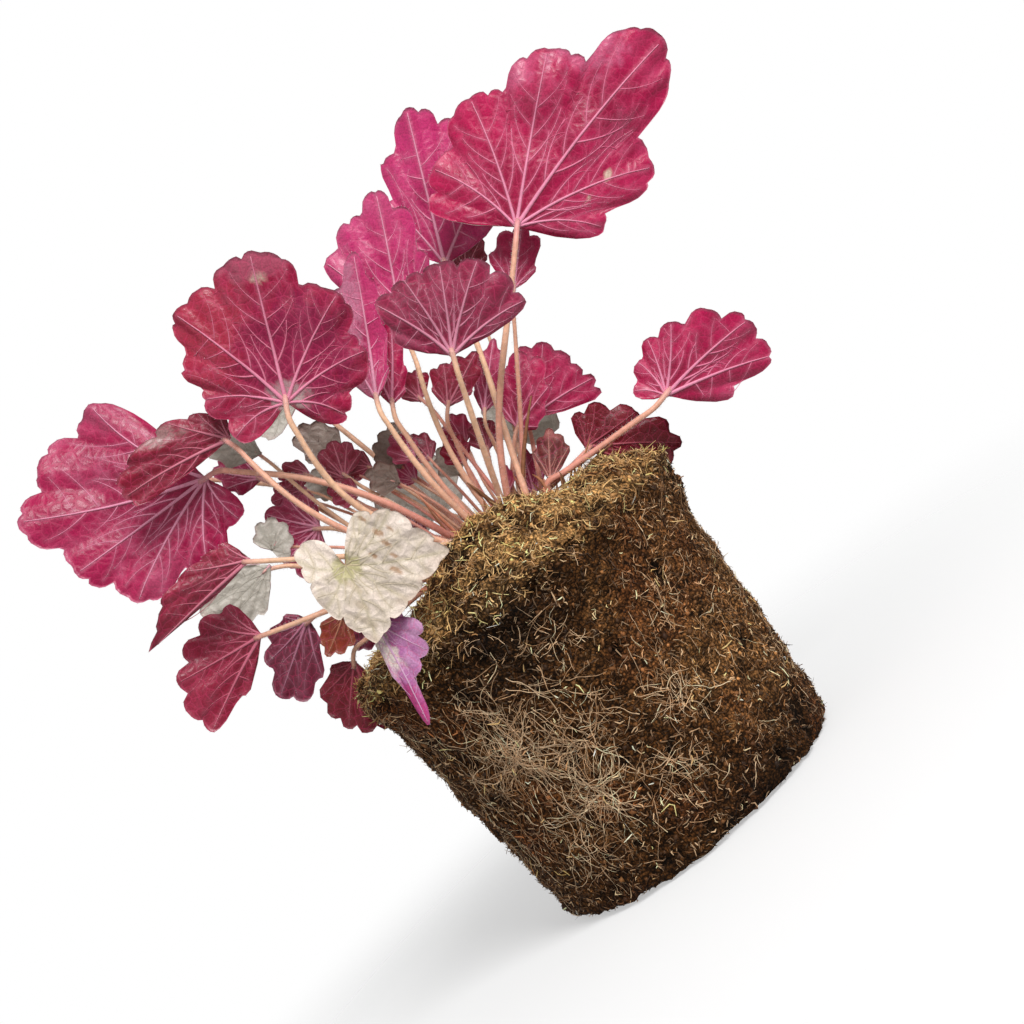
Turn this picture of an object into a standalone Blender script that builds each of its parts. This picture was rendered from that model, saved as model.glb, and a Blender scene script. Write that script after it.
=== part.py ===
"""Heuchera plant lifted from its pot: root ball, woody crown, and one solid per leaf with its stalk."""
import math
from collections import namedtuple

import bmesh
import bpy
import numpy as np
from mathutils import Vector
from mathutils.bvhtree import BVHTree

MM = 0.001

# Root ball, in millimetres. Its flat base rests on z = 0, under the middle of the plant.
BASE_RADIUS = 59.0
RIM_RADIUS = 67.0
RIM_HEIGHT = 112.0
COLLAR_HEIGHT = 24.0
COLLAR_BULGE = 2.6
ROUGHNESS = 1.1
BASE_INSET = 1.5
BALL_SIDES = 44
SIDE_RINGS = 10
NOTCH_AT = math.radians(297.0)
NOTCH_SPAN = 0.14
NOTCH_DEPTH = 5.0
STRANDS = 8
STRAND_RADIUS = 1.1

# The soil's top, and the mounds on it: middle, half widths and height of each.
TOP_HEIGHT = 117.5
TOP_FALL = 5.0
RIDGE = (3.0, -42.0, 31.0, 14.0, 17.0)
SHOULDER = (47.0, -18.0, 11.0, 24.0, 6.0)

# Crown, a low woody dome sunk in the top of the ball.
CROWN_AT = (9.0, 6.0)
CROWN_RADIUS = 28.0
CROWN_BOTTOM = 101.0
CROWN_RIM = 115.5
CROWN_TOP = 120.5
CROWN_GAP = 0.25
CROWN_SIDES = 18

# Stalks and blades.
SEAT_DEPTH = 6.0
SEAT_SPACING = 6.4
SEAT_GAP = 0.3
SEAT_LEAN = 33.0
BLADE_THICK = 0.66
NOTCH = 0.4
TOOTH = 0.055
LOBE_ARCH = 0.035
EDGE_WAVE = 0.03
INNER_RING = 0.52
LARGE_BLADE = 40.0
STALK_GAP = 0.9
BLADE_GAP = 1.9

MAGENTA = (0.42, 0.035, 0.11)
CRIMSON = (0.30, 0.02, 0.05)
BURGUNDY = (0.16, 0.015, 0.045)
SILVER = (0.50, 0.46, 0.40)
DRIED = (0.56, 0.47, 0.37)
PEAT = (0.070, 0.040, 0.020)
WOOD = (0.20, 0.10, 0.055)

# Each lobe is its heading and length as seen from the front, the middle lobe being the leaf's
# midrib. A leaf with face 1 turns its underside to the front, and one with face -1 its upper side.
Leaf = namedtuple(
    "Leaf", "name hilum lobes stalk way face lean cup fold sinus colour"
)


def leaf(name, hilum, lobes, stalk=1.2, way=(), face=1, lean=0, cup=0.15, fold=0.0, sinus=0.13,
         colour=MAGENTA):
    return Leaf(name, hilum, lobes, stalk, way, face, lean, cup, fold, sinus, colour)


LEAVES = (
    leaf("leaf_top_right", (82, 0, 204), stalk=1.5, lean=6, cup=0.30, sinus=0.10,
         lobes=((127, 33), (107, 37), (71, 49), (39, 64), (14, 85), (-17, 54), (-40, 32)),
         way=((68, -8, 188), (58, -14, 177), (41, -12, 164), (27, -8, 157), (14, -5, 142))),
    leaf("leaf_top_right_low", (68, 14, 188), stalk=1.1, lean=0, cup=0.05,
         lobes=((84, 16), (61, 22), (43, 25), (25, 22), (6, 12)),
         way=((53, 14, 171), (46, 13, 155), (40, 12, 146), (26, 8, 134))),
    leaf("leaf_top_middle", (55, 24, 212), stalk=1.4, lean=4, cup=0.25,
         lobes=((111, 20), (93, 31), (82, 45), (64, 59), (43, 54), (23, 42), (3, 24)),
         way=((51, 12, 192), (45, 8, 179), (38, 6, 165), (31, 4, 152), (25, 2, 138))),
    leaf("leaf_top_small", (60, 40, 206), stalk=0.9, colour=CRIMSON,
         lobes=((101, 9), (76, 13), (51, 16), (26, 15), (1, 11)),
         way=((50, 34, 172), (38, 30, 142))),
    leaf("leaf_upper_fold", (26, 8, 201), stalk=1.3, cup=0.2, sinus=0.16,
         lobes=((111, 22), (98, 39), (76, 46), (61, 53), (49, 46), (34, 31), (16, 18)),
         way=((26, 0, 193), (19, -5, 181), (8, -9, 166), (4, -10, 153))),
    leaf("leaf_upper_narrow", (4, -10, 187), stalk=1.4, cup=0.1, fold=0.5, sinus=0.07,
         lobes=((101, 11), (84, 25), (73, 42), (59, 53), (52, 43), (45, 27), (31, 13)),
         way=((0, -18, 174), (-5, -20, 159), (-7, -18, 145))),
    leaf("leaf_upper_behind", (7, 1, 183), stalk=1.3, lean=2, cup=0.1, fold=0.2, sinus=0.08,
         lobes=((91, 10), (76, 18), (61, 29), (51, 32), (43, 24), (31, 15), (11, 8)),
         way=((2, -4, 170), (-5, -8, 150))),
    leaf("leaf_front_fan", (34, -34, 181), stalk=1.4, lean=14, cup=0.3, sinus=0.05, colour=BURGUNDY,
         lobes=((127, 20), (108, 32), (83, 31), (59, 32), (36, 34), (15, 33), (-3, 31)),
         way=((29, -30, 167), (24, -26, 155), (16, -20, 140))),
    leaf("leaf_left_big", (-20, -25, 205), stalk=1.5, lean=8, cup=0.16, sinus=0.12,
         lobes=((176, 22), (139, 29), (123, 38), (102, 49), (63, 53), (25, 42), (-6, 33), (-50, 22)),
         way=((-31, -26, 184), (-37, -26, 173), (-38, -25, 167), (-33, -22, 158), (-20, -18, 144))),
    leaf("leaf_strap", (-44, -13, 209), stalk=1.4, lean=10, cup=0.2, sinus=0.04, colour=CRIMSON,
         lobes=((177, 40), (170, 42), (162, 42), (151, 35), (128, 24), (104, 15), (71, 10)),
         way=((-45, -22, 199), (-46, -28, 188), (-46, -32, 179), (-44, -30, 167), (-35, -28, 156))),
    leaf("leaf_far_left", (-61, 0, 205), stalk=1.5, lean=5, cup=0.14, sinus=0.15,
         lobes=((271, 19), (231, 33), (201, 51), (178, 57), (155, 68), (136, 60), (110, 50)),
         way=((-48, -2, 202), (-36, -4, 194), (-25, -6, 179), (-18, -8, 164), (-9, -10, 154))),
    leaf("leaf_left_edge_on", (-62, -40, 171), stalk=1.3, lean=4, cup=0.1, fold=0.7, sinus=0.05,
         lobes=((187, 17), (183, 47), (174, 37), (164, 32), (152, 23), (133, 15), (111, 11)),
         way=((-58, -40, 166), (-52, -40, 159), (-40, -40, 153), (-21, -34, 143)), colour=CRIMSON),
    leaf("leaf_silver_low", (-62, -10, 166), face=-1, colour=SILVER, cup=0.1, way=((-52, -13, 156),),
         lobes=((223, 18), (209, 22), (197, 29), (187, 32), (175, 30), (161, 22), (146, 14))),
    leaf("leaf_silver_crumpled", (-59, -3, 170), face=-1, colour=SILVER, stalk=0.8, cup=0.1,
         lobes=((109, 8), (79, 11), (51, 12), (23, 11), (-7, 9), (-59, 7))),
    leaf("leaf_low_left", (-78, -22, 149), stalk=1.3, lean=4, cup=0.25, sinus=0.12,
         lobes=((216, 22), (204, 38), (188, 37), (170, 33), (153, 28), (129, 22), (101, 16)),
         way=((-66, -20, 144), (-52, -20, 141), (-28, -20, 135))),
    leaf("leaf_low_violet", (-65, 0, 143), stalk=1.2, cup=0.2, colour=BURGUNDY,
         lobes=((259, 10), (245, 22), (229, 30), (211, 30), (187, 22), (163, 16), (136, 9)),
         way=((-54, -6, 140), (-30, -10, 133))),
    leaf("leaf_low_red", (-66, 33, 119), stalk=1.3, cup=0.15, colour=CRIMSON,
         lobes=((273, 23), (258, 29), (240, 28), (225, 26), (208, 23), (187, 19), (158, 10)),
         way=((-60, 28, 124), (-35, 15, 127))),
    leaf("leaf_low_orange", (-56, 24, 136), stalk=0.9, colour=(0.36, 0.06, 0.02),
         lobes=((246, 13), (226, 16), (209, 18), (193, 15), (171, 11))),
    leaf("leaf_low_dark", (-50, 42, 126), stalk=0.9, colour=BURGUNDY,
         lobes=((236, 10), (216, 13), (197, 15), (179, 13), (159, 10))),
    leaf("leaf_dried", (-36, -68, 149), face=-1, colour=DRIED, stalk=1.2, cup=-0.1, fold=0.2,
         sinus=0.05, way=((-30, -57, 142), (-18, -42, 138)),
         lobes=((36, 18), (11, 24), (-31, 34), (-69, 24), (-108, 27), (-154, 16), (-229, 17))),
    leaf("leaf_dried_small", (-41, -62, 130), colour=(0.40, 0.16, 0.30), stalk=0.9, cup=0.05,
         lobes=((-20, 10), (-48, 17), (-69, 21), (-89, 23), (-101, 39), (-107, 22), (-119, 10)),
         lean=4, way=((-31, -52, 134), (-19, -40, 136)), sinus=0.08),
    leaf("leaf_right", (86, 6, 123), stalk=1.5, lean=6, cup=0.2, sinus=0.12,
         lobes=((133, 12), (91, 16), (70, 22), (47, 27), (26, 35), (5, 41), (-19, 42), (-39, 25)),
         way=((62, 5, 121), (50, 4, 119))),
    leaf("leaf_right_behind", (53, 34, 126), stalk=1.2, colour=CRIMSON, cup=0.1,
         lobes=((68, 14), (37, 18), (-3, 24), (-22, 33), (-36, 37), (-47, 34), (-59, 31)),
         way=((44, 28, 122),)),
    leaf("leaf_inner_right", (37, 20, 148), cup=0.15,
         lobes=((89, 16), (69, 23), (50, 29), (31, 28), (13, 20), (-6, 13), (-34, 8)),
         way=((24, 14, 139),)),
    leaf("leaf_inner_right_back", (43, 34, 148), cup=0.1,
         lobes=((73, 22), (57, 28), (39, 30), (21, 29), (6, 28), (-6, 30), (-19, 30))),
    leaf("leaf_inner_red", (22, 6, 170), stalk=1.1, colour=CRIMSON,
         lobes=((91, 9), (75, 15), (56, 16), (39, 19), (23, 23), (9, 19), (-7, 11)),
         way=((12, 0, 157), (7, -2, 142))),
    leaf("leaf_inner_small", (16, 16, 178), stalk=1.0, colour=CRIMSON,
         lobes=((126, 8), (101, 11), (79, 12), (59, 12), (39, 11)),
         way=((19, 10, 166), (17, 6, 153), (17, 4, 136))),
    leaf("leaf_inner_narrow", (31, 14, 160), stalk=1.0, cup=0.05,
         lobes=((76, 9), (65, 16), (53, 23), (43, 28), (35, 24), (25, 16), (11, 9)),
         way=((25, 12, 150),)),
    leaf("leaf_inner_cup", (34, 12, 125), stalk=1.0, colour=BURGUNDY, cup=0.5,
         lobes=((81, 13), (66, 17), (53, 20), (39, 18), (23, 15))),
    leaf("leaf_left_inner", (-42, 14, 166), stalk=1.2,
         lobes=((236, 16), (213, 20), (186, 19), (156, 18), (127, 21), (99, 17), (71, 14))),
    leaf("leaf_grey_inner", (-22, 34, 180), face=-1, colour=(0.26, 0.20, 0.16), stalk=1.1,
         lobes=((136, 14), (116, 21), (99, 22), (81, 19), (61, 14))),
    leaf("leaf_red_inner", (-24, 20, 174), stalk=1.0, colour=CRIMSON,
         lobes=((121, 11), (96, 14), (71, 15), (46, 14), (21, 12))),
    leaf("leaf_pink_inner", (-48, 26, 194), stalk=1.0,
         lobes=((176, 11), (156, 15), (133, 19), (116, 18), (96, 13))),
    leaf("leaf_silver_inner", (-41, 10, 200), face=-1, colour=SILVER, stalk=1.0,
         lobes=((161, 14), (141, 20), (126, 21), (109, 18), (89, 13))),
    leaf("leaf_grey_middle", (-6, 28, 164), face=-1, colour=(0.30, 0.26, 0.22), stalk=1.0,
         lobes=((121, 11), (101, 14), (81, 16), (61, 18), (41, 14))),
    leaf("leaf_young_right", (27, 39, 124), stalk=1.0,
         lobes=((101, 11), (83, 16), (66, 19), (49, 16), (31, 11))),
    leaf("leaf_bud", (20, 10, 132), stalk=0.8, colour=(0.5, 0.02, 0.10), fold=0.4,
         lobes=((89, 5), (73, 9), (59, 10), (45, 8), (29, 5))),
    leaf("leaf_low_inner", (-14, 24, 137), stalk=1.0, colour=BURGUNDY,
         lobes=((161, 11), (141, 16), (121, 19), (101, 16), (81, 11))),
    leaf("leaf_back_middle", (-19, 54, 211), face=-1, colour=SILVER, stalk=1.4, lean=-10,
         lobes=((190, 22), (158, 30), (126, 36), (94, 38), (62, 36), (30, 30), (-2, 22))),
    leaf("leaf_back_left", (-72, 45, 213), face=-1, colour=SILVER, stalk=1.4, lean=-10,
         lobes=((250, 22), (218, 28), (186, 34), (154, 38), (122, 34), (90, 24), (58, 18))),
    leaf("leaf_back_right", (36, 60, 144), face=-1, colour=SILVER, stalk=1.2, lean=-10,
         lobes=((125, 14), (97, 20), (69, 24), (41, 27), (13, 24), (-15, 18), (-43, 12))),
    leaf("leaf_back_low", (-8, 66, 142), face=-1, colour=SILVER, stalk=1.2, lean=-15,
         lobes=((190, 14), (158, 20), (126, 26), (94, 28), (62, 26), (30, 20), (-2, 14))),
)


class Blade:
    """The mid-surface of one leaf blade, as a height above the plane that its lobes are drawn in."""

    def __init__(self, leaf):
        self.leaf = leaf
        self.aim = leaf.lobes[len(leaf.lobes) // 2][0]
        turns = [math.radians(self.aim - heading) for heading, _ in leaf.lobes]
        self.lengths = np.array([length for _, length in leaf.lobes], float)
        self.turns = np.array(turns)
        self.size = self.lengths.max()
        edge = 0.55 * np.array([turns[1] - turns[0], turns[-1] - turns[-2]])
        middles = (self.turns[1:] + self.turns[:-1]) / 2
        self.bounds = np.concatenate([[turns[0] - edge[0]], middles, [turns[-1] + edge[1]]])
        means = (self.lengths[1:] + self.lengths[:-1]) / 2
        self.bound_lengths = np.concatenate([[0.5 * self.lengths[0]], means, [0.5 * self.lengths[-1]]])
        self.set_axes()

    def set_axes(self):
        aim, lean = math.radians(self.aim), math.radians(self.leaf.lean)
        along = np.array([math.cos(aim), 0, math.sin(aim)])
        out = np.array([0.0, 1.0, 0.0])
        self.across = np.array([math.sin(aim), 0, -math.cos(aim)])
        self.along = along * math.cos(lean) - out * math.sin(lean)
        self.up = (out * math.cos(lean) + along * math.sin(lean)) * self.leaf.face

    def reach(self, lobe, q):
        """Distance from hilum to edge at q, which runs from -1 to 1 across one lobe."""
        side = lobe + (q > 0)
        bound = self.bound_lengths[side]
        a = np.abs(q)
        base = self.lengths[lobe] + (bound - self.lengths[lobe]) * a**2.0
        inner = (side > 0) & (side < len(self.bounds) - 1)
        base = base * (1 - self.leaf.sinus * inner * a**4.0)
        tooth = np.where(a > NOTCH, (2 * a - 1 - NOTCH) / (1 - NOTCH), a / NOTCH)
        return base * (1 - TOOTH * np.abs(tooth) ** 3.0)

    def turn(self, lobe, q):
        side = lobe + (q > 0)
        return self.turns[lobe] + np.abs(self.bounds[side] - self.turns[lobe]) * q

    def point(self, lobe, q, part):
        """Place of the blade at this share of the way from hilum to edge."""
        leaf, size = self.leaf, self.size
        r = self.reach(lobe, q) * part
        turn = self.turn(lobe, q)
        u, v = r * np.sin(turn) / size, r * np.cos(turn) / size
        height = leaf.cup * u * u + leaf.fold * (np.sqrt(u * u + 0.01) - 0.1)
        height = height - LOBE_ARCH * part**1.5 * np.cos(math.pi * q)
        height = height + EDGE_WAVE * part**2 * np.sin(2.3 * turn + self.size)
        return (
            np.array(leaf.hilum, float)
            + np.multiply.outer(u * size, self.across)
            + np.multiply.outer(v * size, self.along)
            + np.multiply.outer(height * size, self.up)
        )

    def sheet(self):
        """Vertices and triangles of the mid-surface, with the loop of border vertices."""
        count = len(self.lengths)
        steps = (-1.0, -0.55, 0.0, 0.55)
        if self.size > LARGE_BLADE:
            steps = (-1.0, -0.72, -NOTCH, -0.17, 0.17, NOTCH, 0.72)
        outer = [(k, q) for k in range(count) for q in steps] + [(count - 1, 1.0)]
        inner = [(k, q) for k in range(count) for q in (-1.0, 0.0)] + [(count - 1, 1.0)]
        points = [self.point(0, 0.0, 0.0)]
        points += [self.point(k, q, INNER_RING) for k, q in inner]
        points += [self.point(k, q, 1.0) for k, q in outer]
        faces = [(0, 1 + k, 2 + k) for k in range(len(inner) - 1)]
        a, b, first = 0, 0, 1 + len(inner)
        inner_turns = [self.turn(k, q) for k, q in inner]
        outer_turns = [self.turn(k, q) for k, q in outer]
        while a < len(inner) - 1 or b < len(outer) - 1:
            last = a == len(inner) - 1
            if last or (b < len(outer) - 1 and outer_turns[b + 1] <= inner_turns[a + 1] + 1e-6):
                faces.append((1 + a, first + b, first + b + 1))
                b += 1
            else:
                faces.append((1 + a, first + b, 2 + a))
                a += 1
        border = [0, 1, *range(first, first + len(outer)), first - 1]
        return np.array(points), faces, border


def surface_normals(points, faces, up):
    normals = np.zeros_like(points)
    for face in faces:
        a, b, c = points[list(face)]
        cross = np.cross(b - a, c - a)
        for index in face:
            normals[index] += cross
    if (normals.sum(axis=0) @ up) < 0:
        normals = -normals
    return normals / np.linalg.norm(normals, axis=1)[:, None]


def blade_mesh(blade):
    """Closed solid of one blade: two like faces and the rim between them."""
    points, faces, border = blade.sheet()
    normals = surface_normals(points, faces, blade.up)
    count = len(points)
    vertices = np.vstack([points + normals * BLADE_THICK / 2, points - normals * BLADE_THICK / 2])
    solid = [tuple(face) for face in faces]
    solid += [tuple(count + index for index in reversed(face)) for face in faces]
    for a, b in zip(border, border[1:] + border[:1]):
        solid += [(b, a, count + a), (b, count + a, count + b)]
    return vertices, solid


def lumps(x, y, z):
    """Smooth unevenness between about -1 and 1, the same wherever it is asked for."""
    return (
        np.sin(0.31 * x + 0.9 * np.sin(0.17 * z + 1.0))
        * np.sin(0.27 * z + 0.8 * np.sin(0.23 * y) + 2.0)
        + 0.7 * np.sin(0.36 * y + 1.3 + 0.5 * np.sin(0.29 * x))
        * np.sin(0.21 * x + 0.33 * z)
    ) / 1.5


def side_radius(turn, z):
    share = z / RIM_HEIGHT
    radius = BASE_RADIUS + (RIM_RADIUS - BASE_RADIUS) * share
    collar = np.clip((z - RIM_HEIGHT + COLLAR_HEIGHT) / (0.6 * COLLAR_HEIGHT), 0, 1)
    radius = radius + COLLAR_BULGE * collar * (1 + 0.8 * np.sin(5 * turn + 1.9))
    x, y = radius * np.cos(turn), radius * np.sin(turn)
    return radius + ROUGHNESS * (1 + collar) * lumps(x, y, z)


def mound(x, y, shape):
    middle_x, middle_y, wide, deep, height = shape
    return height * np.exp(-(((x - middle_x) / wide) ** 2) - ((y - middle_y) / deep) ** 2)


def top_height(x, y):
    """Height of the soil's top: a mossy ridge at the front of the hollow that holds the crown."""
    far = np.hypot(x, y) / RIM_RADIUS
    base = TOP_HEIGHT - TOP_FALL * np.clip(far, 0, 1.1) ** 6
    return base + mound(x, y, RIDGE) + mound(x, y, SHOULDER) + 0.9 * lumps(1.7 * x, 1.7 * y, 20.0)


def ground(x, y):
    """What a stalk must clear: the crown, the funnel round it and the top of the soil."""
    beside = np.hypot(x - CROWN_AT[0], y - CROWN_AT[1]) - CROWN_RADIUS
    if beside < 0:
        return crown_height(x, y)
    return min(top_height(x, y), CROWN_RIM + 1.0 + beside)


def ball_mesh():
    turns = np.linspace(0, 2 * math.pi, BALL_SIDES, endpoint=False)
    rings = []
    for share in (0.55, 1.0):
        radius = share * (side_radius(turns, 0.0) - BASE_INSET)
        rings.append((radius, np.zeros_like(turns)))
    for k in range(SIDE_RINGS + 1):
        z = 3.0 + (RIM_HEIGHT - 5.0) * k / SIDE_RINGS
        height = np.full_like(turns, z)
        if k == 0:
            bite = np.exp(-((turns - NOTCH_AT) / NOTCH_SPAN) ** 2)
            height = height + NOTCH_DEPTH * bite + 0.9 * np.sin(9 * turns) + 0.9
        rings.append((side_radius(turns, height), height))
    for share in (0.965, 0.86, 0.70, 0.50):
        radius = share * side_radius(turns, RIM_HEIGHT)
        x, y = radius * np.cos(turns), radius * np.sin(turns)
        drop = 4.0 if share > 0.95 else 0.0
        rings.append((radius, top_height(x, y) - drop))
    points = [(0, 0, 0)]
    for radius, height in rings:
        points += list(zip(radius * np.cos(turns), radius * np.sin(turns), height))
    points.append((0, 0, float(top_height(0.0, 0.0))))
    faces = []
    n = BALL_SIDES
    for i in range(n):
        j = (i + 1) % n
        faces.append((0, 1 + j, 1 + i))
        last = 1 + (len(rings) - 1) * n
        faces.append((last + i, last + j, len(points) - 1))
        for k in range(len(rings) - 1):
            a, b = 1 + k * n, 1 + (k + 1) * n
            if (i + k) % 2:
                faces += [(a + i, a + j, b + j), (a + i, b + j, b + i)]
            else:
                faces += [(a + i, a + j, b + i), (a + j, b + j, b + i)]
    return np.array(points, float), faces


def strand_path(index):
    """A root lying on the side of the ball, wandering down from the rim."""
    start = 2 * math.pi * index / STRANDS + 0.3 * math.sin(2.1 * index)
    count = 7
    path = []
    for k in range(count):
        share = k / (count - 1)
        z = 104.0 - 14.0 * math.sin(1.7 * index) ** 2 - (58.0 + 18.0 * math.sin(index)) * share
        turn = start + 0.34 * share * math.sin(1.3 * index + 0.5) + 0.06 * math.sin(7 * share + index)
        radius = float(side_radius(turn, z)) + 0.15 * STRAND_RADIUS
        if k in (0, count - 1):
            radius -= 3.0 * STRAND_RADIUS
        path.append((radius * math.cos(turn), radius * math.sin(turn), z))
    return np.array(path)


def tube_mesh(path, radii, sides):
    """Closed tube along a path, its sides turned as little as possible."""
    path = np.asarray(path, float)
    tangents = np.gradient(path, axis=0)
    tangents /= np.linalg.norm(tangents, axis=1)[:, None]
    guide = np.cross(tangents[0], (0.3, 1.0, 0.2))
    points = []
    for place, tangent, radius in zip(path, tangents, radii):
        guide = guide - tangent * (guide @ tangent)
        guide = guide / np.linalg.norm(guide)
        other = np.cross(tangent, guide)
        for k in range(sides):
            turn = 2 * math.pi * k / sides
            points.append(place + radius * (guide * math.cos(turn) + other * math.sin(turn)))
    faces = [tuple(reversed(range(sides)))]
    for k in range(len(path) - 1):
        for i in range(sides):
            j = (i + 1) % sides
            a, b = k * sides, (k + 1) * sides
            faces += [(a + i, a + j, b + j), (a + i, b + j, b + i)]
    last = (len(path) - 1) * sides
    faces.append(tuple(range(last, last + sides)))
    return np.array(points), faces


def join(parts):
    points, faces, offset = [], [], 0
    for vertices, solid in parts:
        points.append(vertices)
        faces += [tuple(offset + index for index in face) for face in solid]
        offset += len(vertices)
    return np.vstack(points), faces


def make_object(name, vertices, faces, colour=None, helper=False):
    mesh = bpy.data.meshes.new(name)
    mesh.from_pydata([tuple(v) for v in np.asarray(vertices) * MM], [], faces)
    shape = bmesh.new()
    shape.from_mesh(mesh)
    bmesh.ops.recalc_face_normals(shape, faces=shape.faces)
    bmesh.ops.triangulate(shape, faces=shape.faces)
    shape.to_mesh(mesh)
    shape.free()
    thing = bpy.data.objects.new(name, mesh)
    bpy.context.scene.collection.objects.link(thing)
    if helper:
        thing.hide_render = True
        thing.display_type = "WIRE"
    else:
        thing.data.materials.append(material(name, colour))
    return thing


def combine(thing, tool, operation):
    """Applies one Boolean, keeps the result as the object's mesh and removes the tool."""
    modifier = thing.modifiers.new(operation.lower(), "BOOLEAN")
    modifier.operation = operation
    modifier.solver = "MANIFOLD"
    modifier.object = tool
    bpy.context.view_layer.update()
    graph = bpy.context.evaluated_depsgraph_get()
    mesh = bpy.data.meshes.new_from_object(thing.evaluated_get(graph))
    thing.modifiers.clear()
    thing.data = mesh
    bpy.data.objects.remove(tool)
    tidy_mesh(mesh)


def tidy_mesh(mesh):
    """Keeps the largest piece only and merges the near-double points that a Boolean leaves."""
    shape = bmesh.new()
    shape.from_mesh(mesh)
    keep_largest(shape)
    bmesh.ops.remove_doubles(shape, verts=shape.verts, dist=0.004 * MM)
    bmesh.ops.dissolve_degenerate(shape, dist=0.004 * MM, edges=shape.edges)
    keep_largest(shape)
    bmesh.ops.triangulate(shape, faces=shape.faces)
    shape.to_mesh(mesh)
    shape.free()


def keep_largest(shape):
    left = set(shape.verts)
    pieces = []
    while left:
        piece, queue = set(), [left.pop()]
        while queue:
            vertex = queue.pop()
            piece.add(vertex)
            near = {edge.other_vert(vertex) for edge in vertex.link_edges} & left
            left -= near
            queue += near
        pieces.append(piece)
    pieces.sort(key=len)
    for piece in pieces[:-1]:
        bmesh.ops.delete(shape, geom=list(piece), context="VERTS")


def material(name, colour):
    made = bpy.data.materials.new(name)
    made.use_nodes = True
    shader = made.node_tree.nodes["Principled BSDF"]
    shader.inputs["Base Color"].default_value = (*colour, 1.0)
    shader.inputs["Roughness"].default_value = 0.6
    made.diffuse_color = (*colour, 1.0)
    return made


def crown_height(x, y):
    far = np.hypot(x - CROWN_AT[0], y - CROWN_AT[1]) / CROWN_RADIUS
    return CROWN_TOP - (CROWN_TOP - CROWN_RIM) * np.clip(far, 0, 1) ** 2


def seats(blades):
    """Where each stalk leaves the crown: drawn toward its leaf, then spread evenly."""
    centre = np.array(CROWN_AT)
    wanted = []
    for blade in blades:
        goal = blade.leaf.way[-1] if blade.leaf.way else blade.leaf.hilum
        pull = np.array(goal[:2]) - centre
        far = np.linalg.norm(pull)
        wanted.append(centre + pull / max(far, 1.0) * min(0.5 * far, CROWN_RADIUS - 6.0))
    spots = np.array(wanted)
    order = np.arange(len(spots))
    spots += 0.05 * np.column_stack([np.sin(7.0 * order), np.cos(5.0 * order)])
    limit = CROWN_RADIUS - 3.6
    for _ in range(400):
        apart = spots[:, None] - spots[None]
        gap = np.linalg.norm(apart, axis=2) + np.eye(len(spots)) * 99
        push = np.clip(SEAT_SPACING - gap, 0, None)[..., None] * apart / gap[..., None]
        spots = spots + 0.35 * push.sum(axis=1)
        pull = spots - centre
        far = np.linalg.norm(pull, axis=1)[:, None]
        spots = centre + pull * np.minimum(1, limit / np.maximum(far, 1e-6))
    return spots


def seat_direction(spot):
    offset = (spot - np.array(CROWN_AT)) / CROWN_RADIUS
    lean = math.tan(math.radians(SEAT_LEAN)) * np.linalg.norm(offset)
    flat = offset / max(np.linalg.norm(offset), 1e-6) * lean
    direction = np.array([flat[0], flat[1], 1.0])
    return direction / np.linalg.norm(direction)


def rope(points, count):
    """A smooth curve through the points, resampled to this many points at even spacing."""
    points = np.asarray(points, float)
    padded = np.vstack([2 * points[0] - points[1], points, 2 * points[-1] - points[-2]])
    curve = []
    for a, b, c, d in zip(padded, padded[1:], padded[2:], padded[3:]):
        for t in np.linspace(0, 1, 12, endpoint=False):
            curve.append(
                0.5 * (2 * b + (c - a) * t + (2 * a - 5 * b + 4 * c - d) * t * t
                       + (3 * b - a - 3 * c + d) * t**3)
            )
    curve.append(points[-1])
    curve = np.array(curve)
    length = np.concatenate([[0], np.cumsum(np.linalg.norm(np.diff(curve, axis=0), axis=1))])
    even = np.linspace(0, length[-1], count)
    return np.column_stack([np.interp(even, length, curve[:, k]) for k in range(3)])


def landing(blade):
    """Where a stalk meets the underside of its blade, a little in front of the hilum."""
    hilum = np.array(blade.leaf.hilum, float)
    return hilum + blade.along * min(2.2, 0.16 * blade.size) - blade.up * (0.9 * blade.leaf.stalk)


def first_route(blade, spot):
    """Stalk from its seat in the crown to just under the hilum."""
    way = seat_direction(spot)
    mouth = np.array([spot[0], spot[1], float(crown_height(*spot))])
    end = landing(blade)
    points = [mouth, mouth + way * 9.0]
    points += [np.array(p, float) for p in blade.leaf.way[::-1]]
    if not blade.leaf.way:
        span = np.linalg.norm(end - mouth)
        points.append(mouth + way * 0.45 * span + (end - mouth) * 0.12)
    arrival = (end - points[-1]) / np.linalg.norm(end - points[-1])
    inward = 0.7 * arrival + 0.25 * blade.along + 0.3 * blade.up
    inward = inward / np.linalg.norm(inward)
    points += [end - inward * 7.0, end]
    length = sum(np.linalg.norm(b - a) for a, b in zip(points, points[1:]))
    return rope(points, max(8, int(length / 7.0)))


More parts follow.
